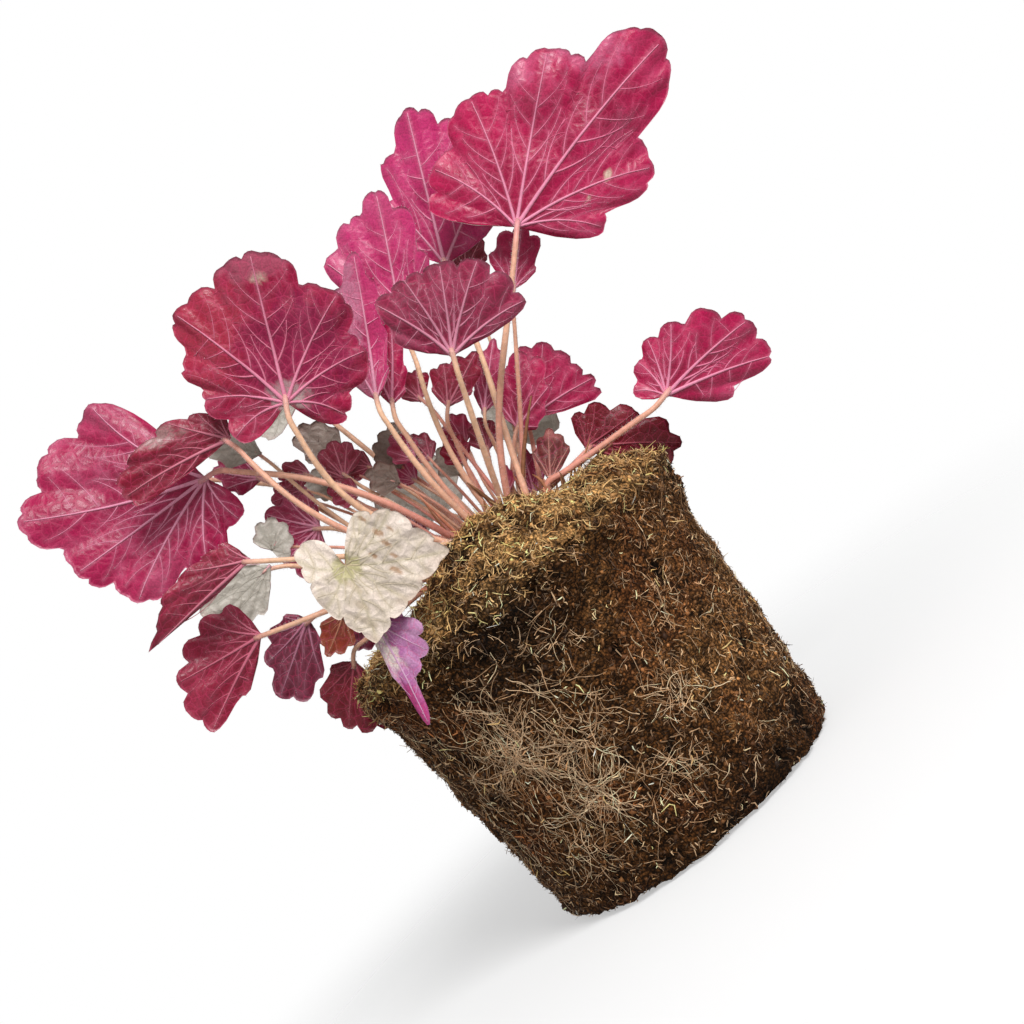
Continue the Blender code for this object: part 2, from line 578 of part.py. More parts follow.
def relax(blades, routes):
    """Moves the middles of the stalks until they clear each other, the blades and the soil."""
    fine = 3
    sheets = [blade.sheet()[:2] for blade in blades]
    corners, triangles, owner = [], [], []
    for index, (points, faces) in enumerate(sheets):
        start = sum(len(c) for c in corners)
        corners.append(points)
        triangles += [tuple(start + i for i in face) for face in faces]
        owner += [index] * len(faces)
    tree = BVHTree.FromPolygons([Vector(p) for p in np.vstack(corners)], triangles)
    for step in range(90):
        dense, ids, radii, shares = [], [], [], []
        for index, route in enumerate(routes):
            count = (len(route) - 1) * fine + 1
            share = np.linspace(0, len(route) - 1, count)
            low = np.minimum(share.astype(int), len(route) - 2)
            part = (share - low)[:, None]
            dense.append(route[low] * (1 - part) + route[low + 1] * part)
            ids += [index] * count
            radii += [blades[index].leaf.stalk] * count
            shares += list(share)
        points = np.vstack(dense)
        ids, radii, shares = np.array(ids), np.array(radii), np.array(shares)
        move = np.zeros_like(points)
        for index in range(len(routes)):
            mine = ids == index
            apart = points[mine][:, None] - points[~mine][None]
            gap = np.linalg.norm(apart, axis=2)
            need = radii[mine][:, None] + radii[~mine][None] + STALK_GAP
            worst = np.argmax(need - gap, axis=1)
            rows = np.arange(len(worst))
            lack = (need - gap)[rows, worst]
            push = apart[rows, worst] / np.maximum(gap[rows, worst], 0.05)[:, None]
            move[mine] += np.clip(lack, 0, 3)[:, None] * push * 0.6
        for k, place in enumerate(points):
            reach = radii[k] + BLADE_GAP
            last = len(routes[ids[k]]) - 1
            for found, _, face, distance in tree.find_nearest_range(Vector(place), reach):
                if owner[face] == ids[k] and shares[k] > last - 2.2:
                    continue
                away = place - np.array(found)
                away = away / max(np.linalg.norm(away), 0.05)
                move[k] += away * (reach - distance) * 0.5
                break
            floor = float(ground(place[0], place[1])) + 1.3 * radii[k] + 0.8
            inside = np.hypot(place[0], place[1]) < RIM_RADIUS + 4
            if inside and place[2] < floor and shares[k] < last - 1:
                move[k, 2] += (floor - place[2]) * 0.6
        for index, route in enumerate(routes):
            mine = ids == index
            shift = np.zeros_like(route)
            weight = np.zeros(len(route))
            for place, delta in zip(shares[mine], move[mine]):
                if not delta.any():
                    continue
                near = np.clip(1 - np.abs(np.arange(len(route)) - place) / 1.6, 0, 1)
                shift += near[:, None] * delta
                weight += near
            shift = shift / np.maximum(weight, 1.0)[:, None]
            bend = np.zeros_like(route)
            bend[1:-1] = (route[:-2] + route[2:]) / 2 - route[1:-1]
            shift = shift + 0.2 * bend
            shift[:2] = 0
            shift[-2:] = 0
            routes[index] = route + shift
    return routes


def stalk_mesh(blade, route, spot):
    """Tube from the bottom of its hole in the crown into the thickness of the blade."""
    leaf = blade.leaf
    way = seat_direction(spot)
    inside = route[-1] + blade.up * (0.9 * leaf.stalk + 0.07)
    path = np.vstack([route[0] - way * SEAT_DEPTH, thin(route), inside])
    run = np.concatenate([[0], np.cumsum(np.linalg.norm(np.diff(path, axis=0), axis=1))])
    radii = leaf.stalk * (1.0 - 0.3 * run / run[-1])
    radii[-1] *= 0.5
    return tube_mesh(path, radii, 5 if leaf.stalk > 1.45 else 4)


def thin(route, slack=0.7):
    """The route with points dropped where it stays this close to straight."""
    keep = {0, 1, len(route) - 1}
    spans = [(1, len(route) - 1)]
    while spans:
        a, b = spans.pop()
        if b - a < 2:
            continue
        chord = route[b] - route[a]
        chord = chord / np.linalg.norm(chord)
        off = route[a + 1 : b] - route[a]
        off = off - np.outer(off @ chord, chord)
        far = np.linalg.norm(off, axis=1)
        if far.max() > slack:
            middle = a + 1 + int(far.argmax())
            keep.add(middle)
            spans += [(a, middle), (middle, b)]
    return route[sorted(keep)]


def build_leaf(blade, route, spot):
    vertices, faces = blade_mesh(blade)
    thing = make_object(blade.leaf.name, vertices, faces, blade.leaf.colour)
    vertices, faces = stalk_mesh(blade, route, spot)
    combine(thing, make_object("stalk", vertices, faces, helper=True), "UNION")
    return thing


def dome(radius, bottom, lift):
    turns = np.linspace(0, 2 * math.pi, CROWN_SIDES, endpoint=False)
    points = [(*CROWN_AT, bottom)]
    levels = [(1.0, bottom), (1.0, CROWN_RIM + lift), (0.7, None), (0.35, None)]
    for share, z in levels:
        for turn in turns:
            x = CROWN_AT[0] + share * radius * math.cos(turn)
            y = CROWN_AT[1] + share * radius * math.sin(turn)
            points.append((x, y, float(crown_height(x, y)) + lift if z is None else z))
    points.append((*CROWN_AT, CROWN_TOP + lift))
    n = CROWN_SIDES
    faces = []
    for i in range(n):
        j = (i + 1) % n
        faces.append((0, 1 + j, 1 + i))
        faces.append((1 + 3 * n + i, 1 + 3 * n + j, len(points) - 1))
        for k in range(3):
            a, b = 1 + k * n, 1 + (k + 1) * n
            faces.append((a + i, a + j, b + j, b + i))
    return np.array(points), faces


def funnel():
    """Tool for the hollow in the soil: the crown's own size below, opening upward at 45 degrees."""
    turns = np.linspace(0, 2 * math.pi, CROWN_SIDES, endpoint=False)
    radius = CROWN_RADIUS + CROWN_GAP
    profile = [
        (radius, CROWN_BOTTOM - CROWN_GAP),
        (radius, CROWN_RIM + 1.0),
        (radius + 40.0, CROWN_RIM + 41.0),
    ]
    points = []
    for reach, z in profile:
        points += [
            (CROWN_AT[0] + reach * math.cos(t), CROWN_AT[1] + reach * math.sin(t), z) for t in turns
        ]
    n = CROWN_SIDES
    faces = [tuple(reversed(range(n))), tuple(range(2 * n, 3 * n))]
    for k in (0, n):
        for i in range(n):
            j = (i + 1) % n
            faces.append((k + i, k + j, k + n + j, k + n + i))
    return np.array(points), faces


def build_crown(blades, spots):
    vertices, faces = dome(CROWN_RADIUS, CROWN_BOTTOM, 0.0)
    thing = make_object("crown", vertices, faces, WOOD)
    holes = []
    for blade, spot in zip(blades, spots):
        way = seat_direction(spot)
        mouth = np.array([spot[0], spot[1], float(crown_height(*spot))])
        bore = (blade.leaf.stalk + SEAT_GAP) / math.cos(math.pi / 5)
        ends = np.array([mouth - way * (SEAT_DEPTH + SEAT_GAP), mouth + way * 6.0])
        holes.append(tube_mesh(ends, [bore, bore], 5))
    combine(thing, make_object("bores", *join(holes), helper=True), "DIFFERENCE")
    return thing


def build_ball():
    vertices, faces = ball_mesh()
    thing = make_object("root_ball", vertices, faces, PEAT)
    radii = [0.5 * STRAND_RADIUS, *[STRAND_RADIUS] * 5, 0.5 * STRAND_RADIUS]
    strands = [tube_mesh(strand_path(index), radii, 4) for index in range(STRANDS)]
    combine(thing, make_object("strands", *join(strands), helper=True), "UNION")
    vertices, faces = funnel()
    combine(thing, make_object("hollow", vertices, faces, helper=True), "DIFFERENCE")
    return thing


def clear_scene():
    for thing in list(bpy.data.objects):
        bpy.data.objects.remove(thing)


def main():
    clear_scene()
    blades = [Blade(entry) for entry in LEAVES]
    spots = seats(blades)
    routes = relax(blades, [first_route(blade, spot) for blade, spot in zip(blades, spots)])
    build_ball()
    build_crown(blades, spots)
    for blade, route, spot in zip(blades, routes, spots):
        build_leaf(blade, route, spot)


main()
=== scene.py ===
"""Looks of a heuchera plant with its root ball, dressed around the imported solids.

Lengths are in millimetres, in the part's own frame, and Mesh.make turns them into metres. The camera,
the lights and the floor are placed in metres.
"""
import math
from collections import namedtuple

import bpy
import numpy as np
from mathutils import Matrix, Vector
from mathutils.bvhtree import BVHTree


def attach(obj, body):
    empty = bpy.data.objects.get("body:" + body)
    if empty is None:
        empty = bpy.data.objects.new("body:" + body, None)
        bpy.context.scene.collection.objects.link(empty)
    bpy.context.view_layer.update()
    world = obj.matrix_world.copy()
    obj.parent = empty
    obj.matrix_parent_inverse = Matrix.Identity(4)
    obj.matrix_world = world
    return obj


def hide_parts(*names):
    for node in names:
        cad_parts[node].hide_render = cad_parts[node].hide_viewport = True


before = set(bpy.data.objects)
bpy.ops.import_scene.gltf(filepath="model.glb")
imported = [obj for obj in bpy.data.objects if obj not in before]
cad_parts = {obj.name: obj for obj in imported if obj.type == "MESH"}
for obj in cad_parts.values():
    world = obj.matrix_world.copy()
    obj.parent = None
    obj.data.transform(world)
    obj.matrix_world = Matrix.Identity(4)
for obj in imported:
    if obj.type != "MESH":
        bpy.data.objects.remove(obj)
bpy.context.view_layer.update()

MM = 0.001

# Camera, in metres, with its lens and sensor in millimetres.
TARGET = (0.016, 0.0, 0.126)
DISTANCE = 0.614
ELEVATION = math.radians(2.0)
ROLL = math.radians(39.4)
LENS = 60.0
SENSOR = 36.0
NEAREST = 0.02

# Root ball and crown, the same driving dimensions as the solids.
BASE_RADIUS = 59.0
RIM_RADIUS = 67.0
RIM_HEIGHT = 112.0
COLLAR_HEIGHT = 24.0
COLLAR_BULGE = 2.6
ROUGHNESS = 1.1
BASE_INSET = 1.5
NOTCH_AT = math.radians(297.0)
NOTCH_SPAN = 0.14
NOTCH_DEPTH = 5.0
TOP_HEIGHT = 117.5
TOP_FALL = 5.0
RIDGE = (3.0, -42.0, 31.0, 14.0, 17.0)
SHOULDER = (47.0, -18.0, 11.0, 24.0, 6.0)
CROWN_AT = (9.0, 6.0)
CROWN_RADIUS = 28.0
CROWN_RIM = 115.5
CROWN_TOP = 120.5

# Stalks and blades, the same driving dimensions as the solids.
SEAT_DEPTH = 6.0
SEAT_SPACING = 6.4
SEAT_LEAN = 33.0
NOTCH = 0.4
TOOTH = 0.055
LOBE_ARCH = 0.035
EDGE_WAVE = 0.03
INNER_RING = 0.52
LARGE_BLADE = 40.0
STALK_GAP = 0.9
BLADE_GAP = 1.9

# Fine surface.
BLADE_STEP = 1.5
BLADE_THICK = 0.42
EDGE_THICK = 0.24
QUILT = 0.52
QUILT_WIDTH = 2.6
RUFFLE = 0.75
RUFFLE_LENGTH = 9.0
LOBULE = 7.5
ARCH_SHARE = 0.55
NOTCH_SHARE = 0.13
VEIN_APART = math.radians(21.0)
SOIL_STEP = 1.35
FIBRES = 17000
CRUMBS = 5000
ROOTS = 900
MOSS = 4200
BASE_RINGS = 30
TOP_RINGS = 42
CROWN_RINGS = 26
CROWN_COLUMNS = 90
CROWN_SKIRT = 12.0

# Each look gives the underside's deep, middle and pale colour, then the upper side's. The pale one is also
# the colour of the underside's painted highlight.
SILVER = (0.66, 0.61, 0.55)
SILVER_VEIN = (0.23, 0.20, 0.15)
PURPLE_GREY = (0.30, 0.20, 0.20)
Look = namedtuple("Look", "deep middle pale vein upper upper_vein", defaults=(SILVER, SILVER_VEIN))
LOOKS = {
    "rose": Look((0.28, 0.001, 0.038), (0.50, 0.002, 0.076), (0.68, 0.09, 0.21), (0.80, 0.30, 0.44)),
    "pink": Look((0.46, 0.014, 0.11), (0.60, 0.030, 0.17), (0.74, 0.18, 0.34), (0.82, 0.36, 0.50)),
    "gloss": Look((0.26, 0.002, 0.042), (0.41, 0.003, 0.070), (0.68, 0.16, 0.29), (0.80, 0.34, 0.48)),
    "crimson": Look((0.22, 0.001, 0.024), (0.38, 0.003, 0.050), (0.52, 0.06, 0.13), (0.74, 0.26, 0.38)),
    "wine": Look((0.15, 0.001, 0.012), (0.26, 0.004, 0.026), (0.38, 0.04, 0.08), (0.62, 0.20, 0.27)),
    "ruby": Look((0.15, 0.001, 0.012), (0.30, 0.004, 0.034), (0.44, 0.05, 0.10), (0.58, 0.15, 0.22)),
    "burgundy": Look((0.19, 0.004, 0.030), (0.29, 0.012, 0.056), (0.44, 0.12, 0.19), (0.66, 0.26, 0.36)),
    "blood": Look((0.09, 0.002, 0.004), (0.18, 0.004, 0.010), (0.28, 0.015, 0.035), (0.38, 0.07, 0.10),
                  PURPLE_GREY),
    "violet": Look((0.09, 0.006, 0.016), (0.18, 0.016, 0.042), (0.28, 0.06, 0.11), (0.44, 0.17, 0.25),
                   PURPLE_GREY),
    "ember": Look((0.16, 0.012, 0.005), (0.34, 0.04, 0.016), (0.48, 0.12, 0.06), (0.55, 0.25, 0.15),
                  PURPLE_GREY),
    "cup": Look((0.05, 0.004, 0.004), (0.12, 0.010, 0.010), (0.30, 0.05, 0.05), (0.62, 0.28, 0.24),
                PURPLE_GREY),
    "bud": Look((0.40, 0.01, 0.05), (0.60, 0.03, 0.13), (0.75, 0.15, 0.28), (0.80, 0.40, 0.45),
                (0.55, 0.10, 0.16), (0.45, 0.05, 0.10)),
    "lilac": Look((0.34, 0.05, 0.24), (0.50, 0.20, 0.42), (0.64, 0.42, 0.56), (0.62, 0.36, 0.52),
                  (0.62, 0.52, 0.42), (0.40, 0.30, 0.20)),
    "silver": Look((0.30, 0.02, 0.06), (0.46, 0.04, 0.12), (0.62, 0.18, 0.30), (0.70, 0.36, 0.42),
                   (0.66, 0.61, 0.54), (0.27, 0.25, 0.20)),
    "grey": Look((0.20, 0.02, 0.04), (0.30, 0.04, 0.07), (0.40, 0.12, 0.16), (0.50, 0.26, 0.28),
                 (0.36, 0.27, 0.23), (0.15, 0.11, 0.09)),
    "dried": Look((0.40, 0.24, 0.14), (0.52, 0.36, 0.22), (0.62, 0.48, 0.34), (0.50, 0.40, 0.24),
                  (0.80, 0.67, 0.58), (0.44, 0.38, 0.22)),
}
PILLOW_WIDTH = 0.32

# Floor and light, in metres.
FLOOR_RADIUS = 0.9
FLOOR_SIDES = 96
FLOOR_GAP = 0.0004
WHITE = (1.0, 1.0, 1.0, 1.0)
AMBIENT = 0.40
LIGHTS = (
    ("key", (0.60, -1.0, 1.00), 0.7, 21.0),
    ("fill", (-1.1, -0.9, 0.5), 1.2, 2.5),
)

# Stalks and hairs.
PEACH = (0.96, 0.58, 0.37)
ROSY = (0.78, 0.22, 0.21)
STALK_FOOT = (0.70, 0.25, 0.16)
HAIR = (0.86, 0.76, 0.72)
STALK_SIDES = 10
STALK_HAIRS = 8
MARGIN_HAIRS = 0.9
MAIN_VEIN_HAIRS = 2.0
BRANCH_HAIRS = 0.5
VEIN_SHARE = 0.60
THINNEST_VEIN = 0.09
BRANCH_SPACING = 7.5
SHORTEST_BRANCHED = 9
SHORTEST_FORKED = 16
DRY_LEAVES = ("leaf_dried", "leaf_dried_small")

# Each lobe is its heading and length as seen from the front, the middle lobe being the leaf's
# midrib. A leaf with face 1 turns its underside to the front, and one with face -1 its upper side.
Leaf = namedtuple("Leaf", "name look hilum lobes stalk way face lean cup fold sinus")


def leaf(name, look, hilum, lobes, stalk=1.2, way=(), face=1, lean=0, cup=0.15, fold=0.0, sinus=0.13):
    return Leaf(name, look, hilum, lobes, stalk, way, face, lean, cup, fold, sinus)


LEAVES = (
    leaf("leaf_top_right", "rose", (82, 0, 204), stalk=1.5, lean=6, cup=0.30, sinus=0.10,
         lobes=((127, 33), (107, 37), (71, 49), (39, 64), (14, 85), (-17, 54), (-40, 32)),
         way=((68, -8, 188), (58, -14, 177), (41, -12, 164), (27, -8, 157), (14, -5, 142))),
    leaf("leaf_top_right_low", "rose", (68, 14, 188), stalk=1.1, lean=0, cup=0.05,
         lobes=((84, 16), (61, 22), (43, 25), (25, 22), (6, 12)),
         way=((53, 14, 171), (46, 13, 155), (40, 12, 146), (26, 8, 134))),
    leaf("leaf_top_middle", "pink", (55, 24, 212), stalk=1.4, lean=4, cup=0.25,
         lobes=((111, 20), (93, 31), (82, 45), (64, 59), (43, 54), (23, 42), (3, 24)),
         way=((51, 12, 192), (45, 8, 179), (38, 6, 165), (31, 4, 152), (25, 2, 138))),
    leaf("leaf_top_small", "wine", (60, 40, 206), stalk=0.9,
         lobes=((101, 9), (76, 13), (51, 16), (26, 15), (1, 11)),
         way=((50, 34, 172), (38, 30, 142))),
    leaf("leaf_upper_fold", "pink", (26, 8, 201), stalk=1.3, cup=0.2, sinus=0.16,
         lobes=((111, 22), (98, 39), (76, 46), (61, 53), (49, 46), (34, 31), (16, 18)),
         way=((26, 0, 193), (19, -5, 181), (8, -9, 166), (4, -10, 153))),
    leaf("leaf_upper_narrow", "pink", (4, -10, 187), stalk=1.4, cup=0.1, fold=0.5, sinus=0.07,
         lobes=((101, 11), (84, 25), (73, 42), (59, 53), (52, 43), (45, 27), (31, 13)),
         way=((0, -18, 174), (-5, -20, 159), (-7, -18, 145))),
    leaf("leaf_upper_behind", "rose", (7, 1, 183), stalk=1.3, lean=2, cup=0.1, fold=0.2, sinus=0.08,
         lobes=((91, 10), (76, 18), (61, 29), (51, 32), (43, 24), (31, 15), (11, 8)),
         way=((2, -4, 170), (-5, -8, 150))),
    leaf("leaf_front_fan", "burgundy", (34, -34, 181), stalk=1.4, lean=14, cup=0.3, sinus=0.05,
         lobes=((127, 20), (108, 32), (83, 31), (59, 32), (36, 34), (15, 33), (-3, 31)),
         way=((29, -30, 167), (24, -26, 155), (16, -20, 140))),
    leaf("leaf_left_big", "crimson", (-20, -25, 205), stalk=1.5, lean=8, cup=0.16, sinus=0.12,
         lobes=((176, 22), (139, 29), (123, 38), (102, 49), (63, 53), (25, 42), (-6, 33), (-50, 22)),
         way=((-31, -26, 184), (-37, -26, 173), (-38, -25, 167), (-33, -22, 158), (-20, -18, 144))),
    leaf("leaf_strap", "wine", (-44, -13, 209), stalk=1.4, lean=10, cup=0.2, sinus=0.04,
         lobes=((177, 40), (170, 42), (162, 42), (151, 35), (128, 24), (104, 15), (71, 10)),
         way=((-45, -22, 199), (-46, -28, 188), (-46, -32, 179), (-44, -30, 167), (-35, -28, 156))),
    leaf("leaf_far_left", "gloss", (-61, 0, 205), stalk=1.5, lean=5, cup=0.14, sinus=0.15,
         lobes=((271, 19), (231, 33), (201, 51), (178, 57), (155, 68), (136, 60), (110, 50)),
         way=((-48, -2, 202), (-36, -4, 194), (-25, -6, 179), (-18, -8, 164), (-9, -10, 154))),
    leaf("leaf_left_edge_on", "wine", (-62, -40, 171), stalk=1.3, lean=4, cup=0.1, fold=0.7, sinus=0.05,
         lobes=((187, 17), (183, 47), (174, 37), (164, 32), (152, 23), (133, 15), (111, 11)),
         way=((-58, -40, 166), (-52, -40, 159), (-40, -40, 153), (-21, -34, 143))),
    leaf("leaf_silver_low", "silver", (-62, -10, 166), face=-1, cup=0.1, way=((-52, -13, 156),),
         lobes=((223, 18), (209, 22), (197, 29), (187, 32), (175, 30), (161, 22), (146, 14))),
    leaf("leaf_silver_crumpled", "silver", (-59, -3, 170), face=-1, stalk=0.8, cup=0.1,
         lobes=((109, 8), (79, 11), (51, 12), (23, 11), (-7, 9), (-59, 7))),
    leaf("leaf_low_left", "ruby", (-78, -22, 149), stalk=1.3, lean=4, cup=0.25, sinus=0.12,
         lobes=((216, 22), (204, 38), (188, 37), (170, 33), (153, 28), (129, 22), (101, 16)),
         way=((-66, -20, 144), (-52, -20, 141), (-28, -20, 135))),
    leaf("leaf_low_violet", "violet", (-65, 0, 143), stalk=1.2, cup=0.2,
         lobes=((259, 10), (245, 22), (229, 30), (211, 30), (187, 22), (163, 16), (136, 9)),
         way=((-54, -6, 140), (-30, -10, 133))),
    leaf("leaf_low_red", "blood", (-66, 33, 119), stalk=1.3, cup=0.15,
         lobes=((273, 23), (258, 29), (240, 28), (225, 26), (208, 23), (187, 19), (158, 10)),
         way=((-60, 28, 124), (-35, 15, 127))),
    leaf("leaf_low_orange", "ember", (-56, 24, 136), stalk=0.9,
         lobes=((246, 13), (226, 16), (209, 18), (193, 15), (171, 11))),
    leaf("leaf_low_dark", "violet", (-50, 42, 126), stalk=0.9,
         lobes=((236, 10), (216, 13), (197, 15), (179, 13), (159, 10))),
    leaf("leaf_dried", "dried", (-36, -68, 149), face=-1, stalk=1.2, cup=-0.1, fold=0.2,
         sinus=0.05, way=((-30, -57, 142), (-18, -42, 138)),
         lobes=((36, 18), (11, 24), (-31, 34), (-69, 24), (-108, 27), (-154, 16), (-229, 17))),
    leaf("leaf_dried_small", "lilac", (-41, -62, 130), stalk=0.9, cup=0.05,
         lobes=((-20, 10), (-48, 17), (-69, 21), (-89, 23), (-101, 39), (-107, 22), (-119, 10)),
         lean=4, way=((-31, -52, 134), (-19, -40, 136)), sinus=0.08),
    leaf("leaf_right", "rose", (86, 6, 123), stalk=1.5, lean=6, cup=0.2, sinus=0.12,
         lobes=((133, 12), (91, 16), (70, 22), (47, 27), (26, 35), (5, 41), (-19, 42), (-39, 25)),
         way=((62, 5, 121), (50, 4, 119))),
    leaf("leaf_right_behind", "blood", (53, 34, 126), stalk=1.2, cup=0.1,
         lobes=((68, 14), (37, 18), (-3, 24), (-22, 33), (-36, 37), (-47, 34), (-59, 31)),
         way=((44, 28, 122),)),
    leaf("leaf_inner_right", "rose", (37, 20, 148), cup=0.15,
         lobes=((89, 16), (69, 23), (50, 29), (31, 28), (13, 20), (-6, 13), (-34, 8)),
         way=((24, 14, 139),)),
    leaf("leaf_inner_right_back", "rose", (43, 34, 148), cup=0.1,
         lobes=((73, 22), (57, 28), (39, 30), (21, 29), (6, 28), (-6, 30), (-19, 30))),
    leaf("leaf_inner_red", "wine", (22, 6, 170), stalk=1.1,
         lobes=((91, 9), (75, 15), (56, 16), (39, 19), (23, 23), (9, 19), (-7, 11)),
         way=((12, 0, 157), (7, -2, 142))),
    leaf("leaf_inner_small", "wine", (16, 16, 178), stalk=1.0,
         lobes=((126, 8), (101, 11), (79, 12), (59, 12), (39, 11)),
         way=((19, 10, 166), (17, 6, 153), (17, 4, 136))),
    leaf("leaf_inner_narrow", "gloss", (31, 14, 160), stalk=1.0, cup=0.05,
         lobes=((76, 9), (65, 16), (53, 23), (43, 28), (35, 24), (25, 16), (11, 9)),
         way=((25, 12, 150),)),
    leaf("leaf_inner_cup", "cup", (34, 12, 125), stalk=1.0, cup=0.5,
         lobes=((81, 13), (66, 17), (53, 20), (39, 18), (23, 15))),
    leaf("leaf_left_inner", "gloss", (-42, 14, 166), stalk=1.2,
         lobes=((236, 16), (213, 20), (186, 19), (156, 18), (127, 21), (99, 17), (71, 14))),
    leaf("leaf_grey_inner", "grey", (-22, 34, 180), face=-1, stalk=1.1,
         lobes=((136, 14), (116, 21), (99, 22), (81, 19), (61, 14))),
    leaf("leaf_red_inner", "wine", (-24, 20, 174), stalk=1.0,
         lobes=((121, 11), (96, 14), (71, 15), (46, 14), (21, 12))),
    leaf("leaf_pink_inner", "gloss", (-48, 26, 194), stalk=1.0,
         lobes=((176, 11), (156, 15), (133, 19), (116, 18), (96, 13))),
    leaf("leaf_silver_inner", "silver", (-41, 10, 200), face=-1, stalk=1.0,
         lobes=((161, 14), (141, 20), (126, 21), (109, 18), (89, 13))),
    leaf("leaf_grey_middle", "grey", (-6, 28, 164), face=-1, stalk=1.0,
         lobes=((121, 11), (101, 14), (81, 16), (61, 18), (41, 14))),
    leaf("leaf_young_right", "gloss", (27, 39, 124), stalk=1.0,
         lobes=((101, 11), (83, 16), (66, 19), (49, 16), (31, 11))),
    leaf("leaf_bud", "bud", (20, 10, 132), stalk=0.8, fold=0.4,
         lobes=((89, 5), (73, 9), (59, 10), (45, 8), (29, 5))),
    leaf("leaf_low_inner", "violet", (-14, 24, 137), stalk=1.0,
         lobes=((161, 11), (141, 16), (121, 19), (101, 16), (81, 11))),
    leaf("leaf_back_middle", "silver", (-19, 54, 211), face=-1, stalk=1.4, lean=-10,
         lobes=((190, 22), (158, 30), (126, 36), (94, 38), (62, 36), (30, 30), (-2, 22))),
    leaf("leaf_back_left", "silver", (-72, 45, 213), face=-1, stalk=1.4, lean=-10,
         lobes=((250, 22), (218, 28), (186, 34), (154, 38), (122, 34), (90, 24), (58, 18))),
    leaf("leaf_back_right", "silver", (36, 60, 144), face=-1, stalk=1.2, lean=-10,
         lobes=((125, 14), (97, 20), (69, 24), (41, 27), (13, 24), (-15, 18), (-43, 12))),
    leaf("leaf_back_low", "silver", (-8, 66, 142), face=-1, stalk=1.2, lean=-15,
         lobes=((190, 14), (158, 20), (126, 26), (94, 28), (62, 26), (30, 20), (-2, 14))),
)

# Marks on the side that faces the front: place across and along the blade, half sizes, colour, strength.
BEIGE = (0.62, 0.47, 0.36)
PATCH_SILVER = (0.60, 0.55, 0.50)
SILVER_PINK = (0.68, 0.27, 0.40)
HOT_MAGENTA = (0.60, 0.04, 0.17)
BROWN_SPOT = (0.34, 0.19, 0.10)
CREASE = (0.50, 0.40, 0.28)
OLIVE = (0.44, 0.40, 0.16)
# Pale pink of the painted highlight on the top lobes of leaf_top_right.
LOBE_HIGHLIGHT_PINK = (0.66, 0.20, 0.34)
ROLLED_GREY = (0.52, 0.48, 0.44)
MARKS = {
    "leaf_top_right": (
        (28.4, 24.6, 1.0, 1.8, BEIGE, 0.9), (23.4, 15.3, 0.9, 1.4, BEIGE, 0.9),
        # Pale pink patches at the ends of the top lobes: painted highlight.
        (10.0, 70.0, 13.0, 12.0, LOBE_HIGHLIGHT_PINK, 0.45), (-14.0, 56.0, 10.0, 8.0, LOBE_HIGHLIGHT_PINK, 0.35),
        # Dark patch over the right-hand basal lobe: painted shade.
        (20.0, -8.0, 14.0, 7.0, (0.20, 0.016, 0.04), 0.55),
    ),
    "leaf_left_big": (
        (1.5, 2.5, 6.2, 5.4, PATCH_SILVER, 0.95), (-24.3, -14.9, 1.6, 7.0, BEIGE, 0.6),
        (-22.0, 30.0, 15.0, 20.0, (0.42, 0.022, 0.045), 0.45), (0.5, 43.5, 2.6, 1.4, BEIGE, 0.9),
        (2.0, 50.0, 15.0, 6.0, (0.50, 0.13, 0.20), 0.5), (8.0, 16.0, 20.0, 18.0, (0.24, 0.004, 0.06), 0.55),
    ),
    "leaf_strap": ((5.0, 29.0, 3.5, 13.0, (0.48, 0.38, 0.35), 0.5),),
    "leaf_inner_right": (
        (-5.0, 33.0, 14.0, 4.0, ROLLED_GREY, 0.85), (24.5, 27.0, 4.5, 4.5, ROLLED_GREY, 0.85),
    ),
    "leaf_upper_narrow": (
        (-7.0, 36.0, 6.5, 20.0, SILVER_PINK, 0.75), (3.5, 26.0, 3.5, 26.0, HOT_MAGENTA, 0.7),
        (-6.0, 8.0, 6.0, 9.0, (0.60, 0.25, 0.34), 0.6),
    ),
    "leaf_dried": (
        (0.7, 1.0, 4.5, 4.5, OLIVE, 0.75), (4.5, 6.0, 1.2, 3.6, CREASE, 0.7),
        (8.5, 10.5, 1.2, 3.6, CREASE, 0.7), (12.0, 15.0, 1.2, 3.6, CREASE, 0.6),
        (-15.7, -2.5, 0.8, 2.0, BROWN_SPOT, 0.9),
        (-14.5, 3.8, 1.0, 2.4, BROWN_SPOT, 0.9), (-12.7, 7.8, 0.9, 2.2, BROWN_SPOT, 0.9),
        (-7.4, 6.4, 0.8, 1.6, BROWN_SPOT, 0.9), (-6.7, 14.9, 1.0, 2.2, BROWN_SPOT, 0.9),
        (-17.5, 6.5, 0.6, 1.4, BROWN_SPOT, 0.8), (-10.5, 12.0, 0.6, 1.3, BROWN_SPOT, 0.8),
    ),
    "leaf_dried_small": (
        (3.6, 9.0, 3.4, 10.0, (0.70, 0.60, 0.54), 0.95), (8.0, 31.0, 5.0, 9.0, (0.42, 0.02, 0.16), 0.85),
    ),
    "leaf_inner_cup": ((0.0, 18.5, 14.0, 2.6, (0.60, 0.22, 0.20), 0.8),),
}

# Young leaves rise from right to left behind the front stalks.
YOUNG_COUNT = 15
YOUNG_RIGHT = 26.0
YOUNG_LEFT = -44.0
YOUNG_DEPTH = 20.0
YOUNG_LOW = 148.0
YOUNG_RISE = 38.0
YOUNG_LENGTH = 13.0
YOUNG_STALK = 0.75
YOUNG_AIM = 65.0
YOUNG_TURN = 105.0
YOUNG_SWAY = 9.0
YOUNG_LIFT = 6.0
YOUNG_LEAN = 14.0
YOUNG_SEED = 200
LEAF_SEED = 100
YOUNG_LOOKS = ("wine", "crimson", "ruby", "rose", "wine", "crimson", "pink", "grey")
YOUNG_SHAPE = ((50, 0.62), (26, 0.84), (0, 1.0), (-25, 0.88), (-48, 0.6))


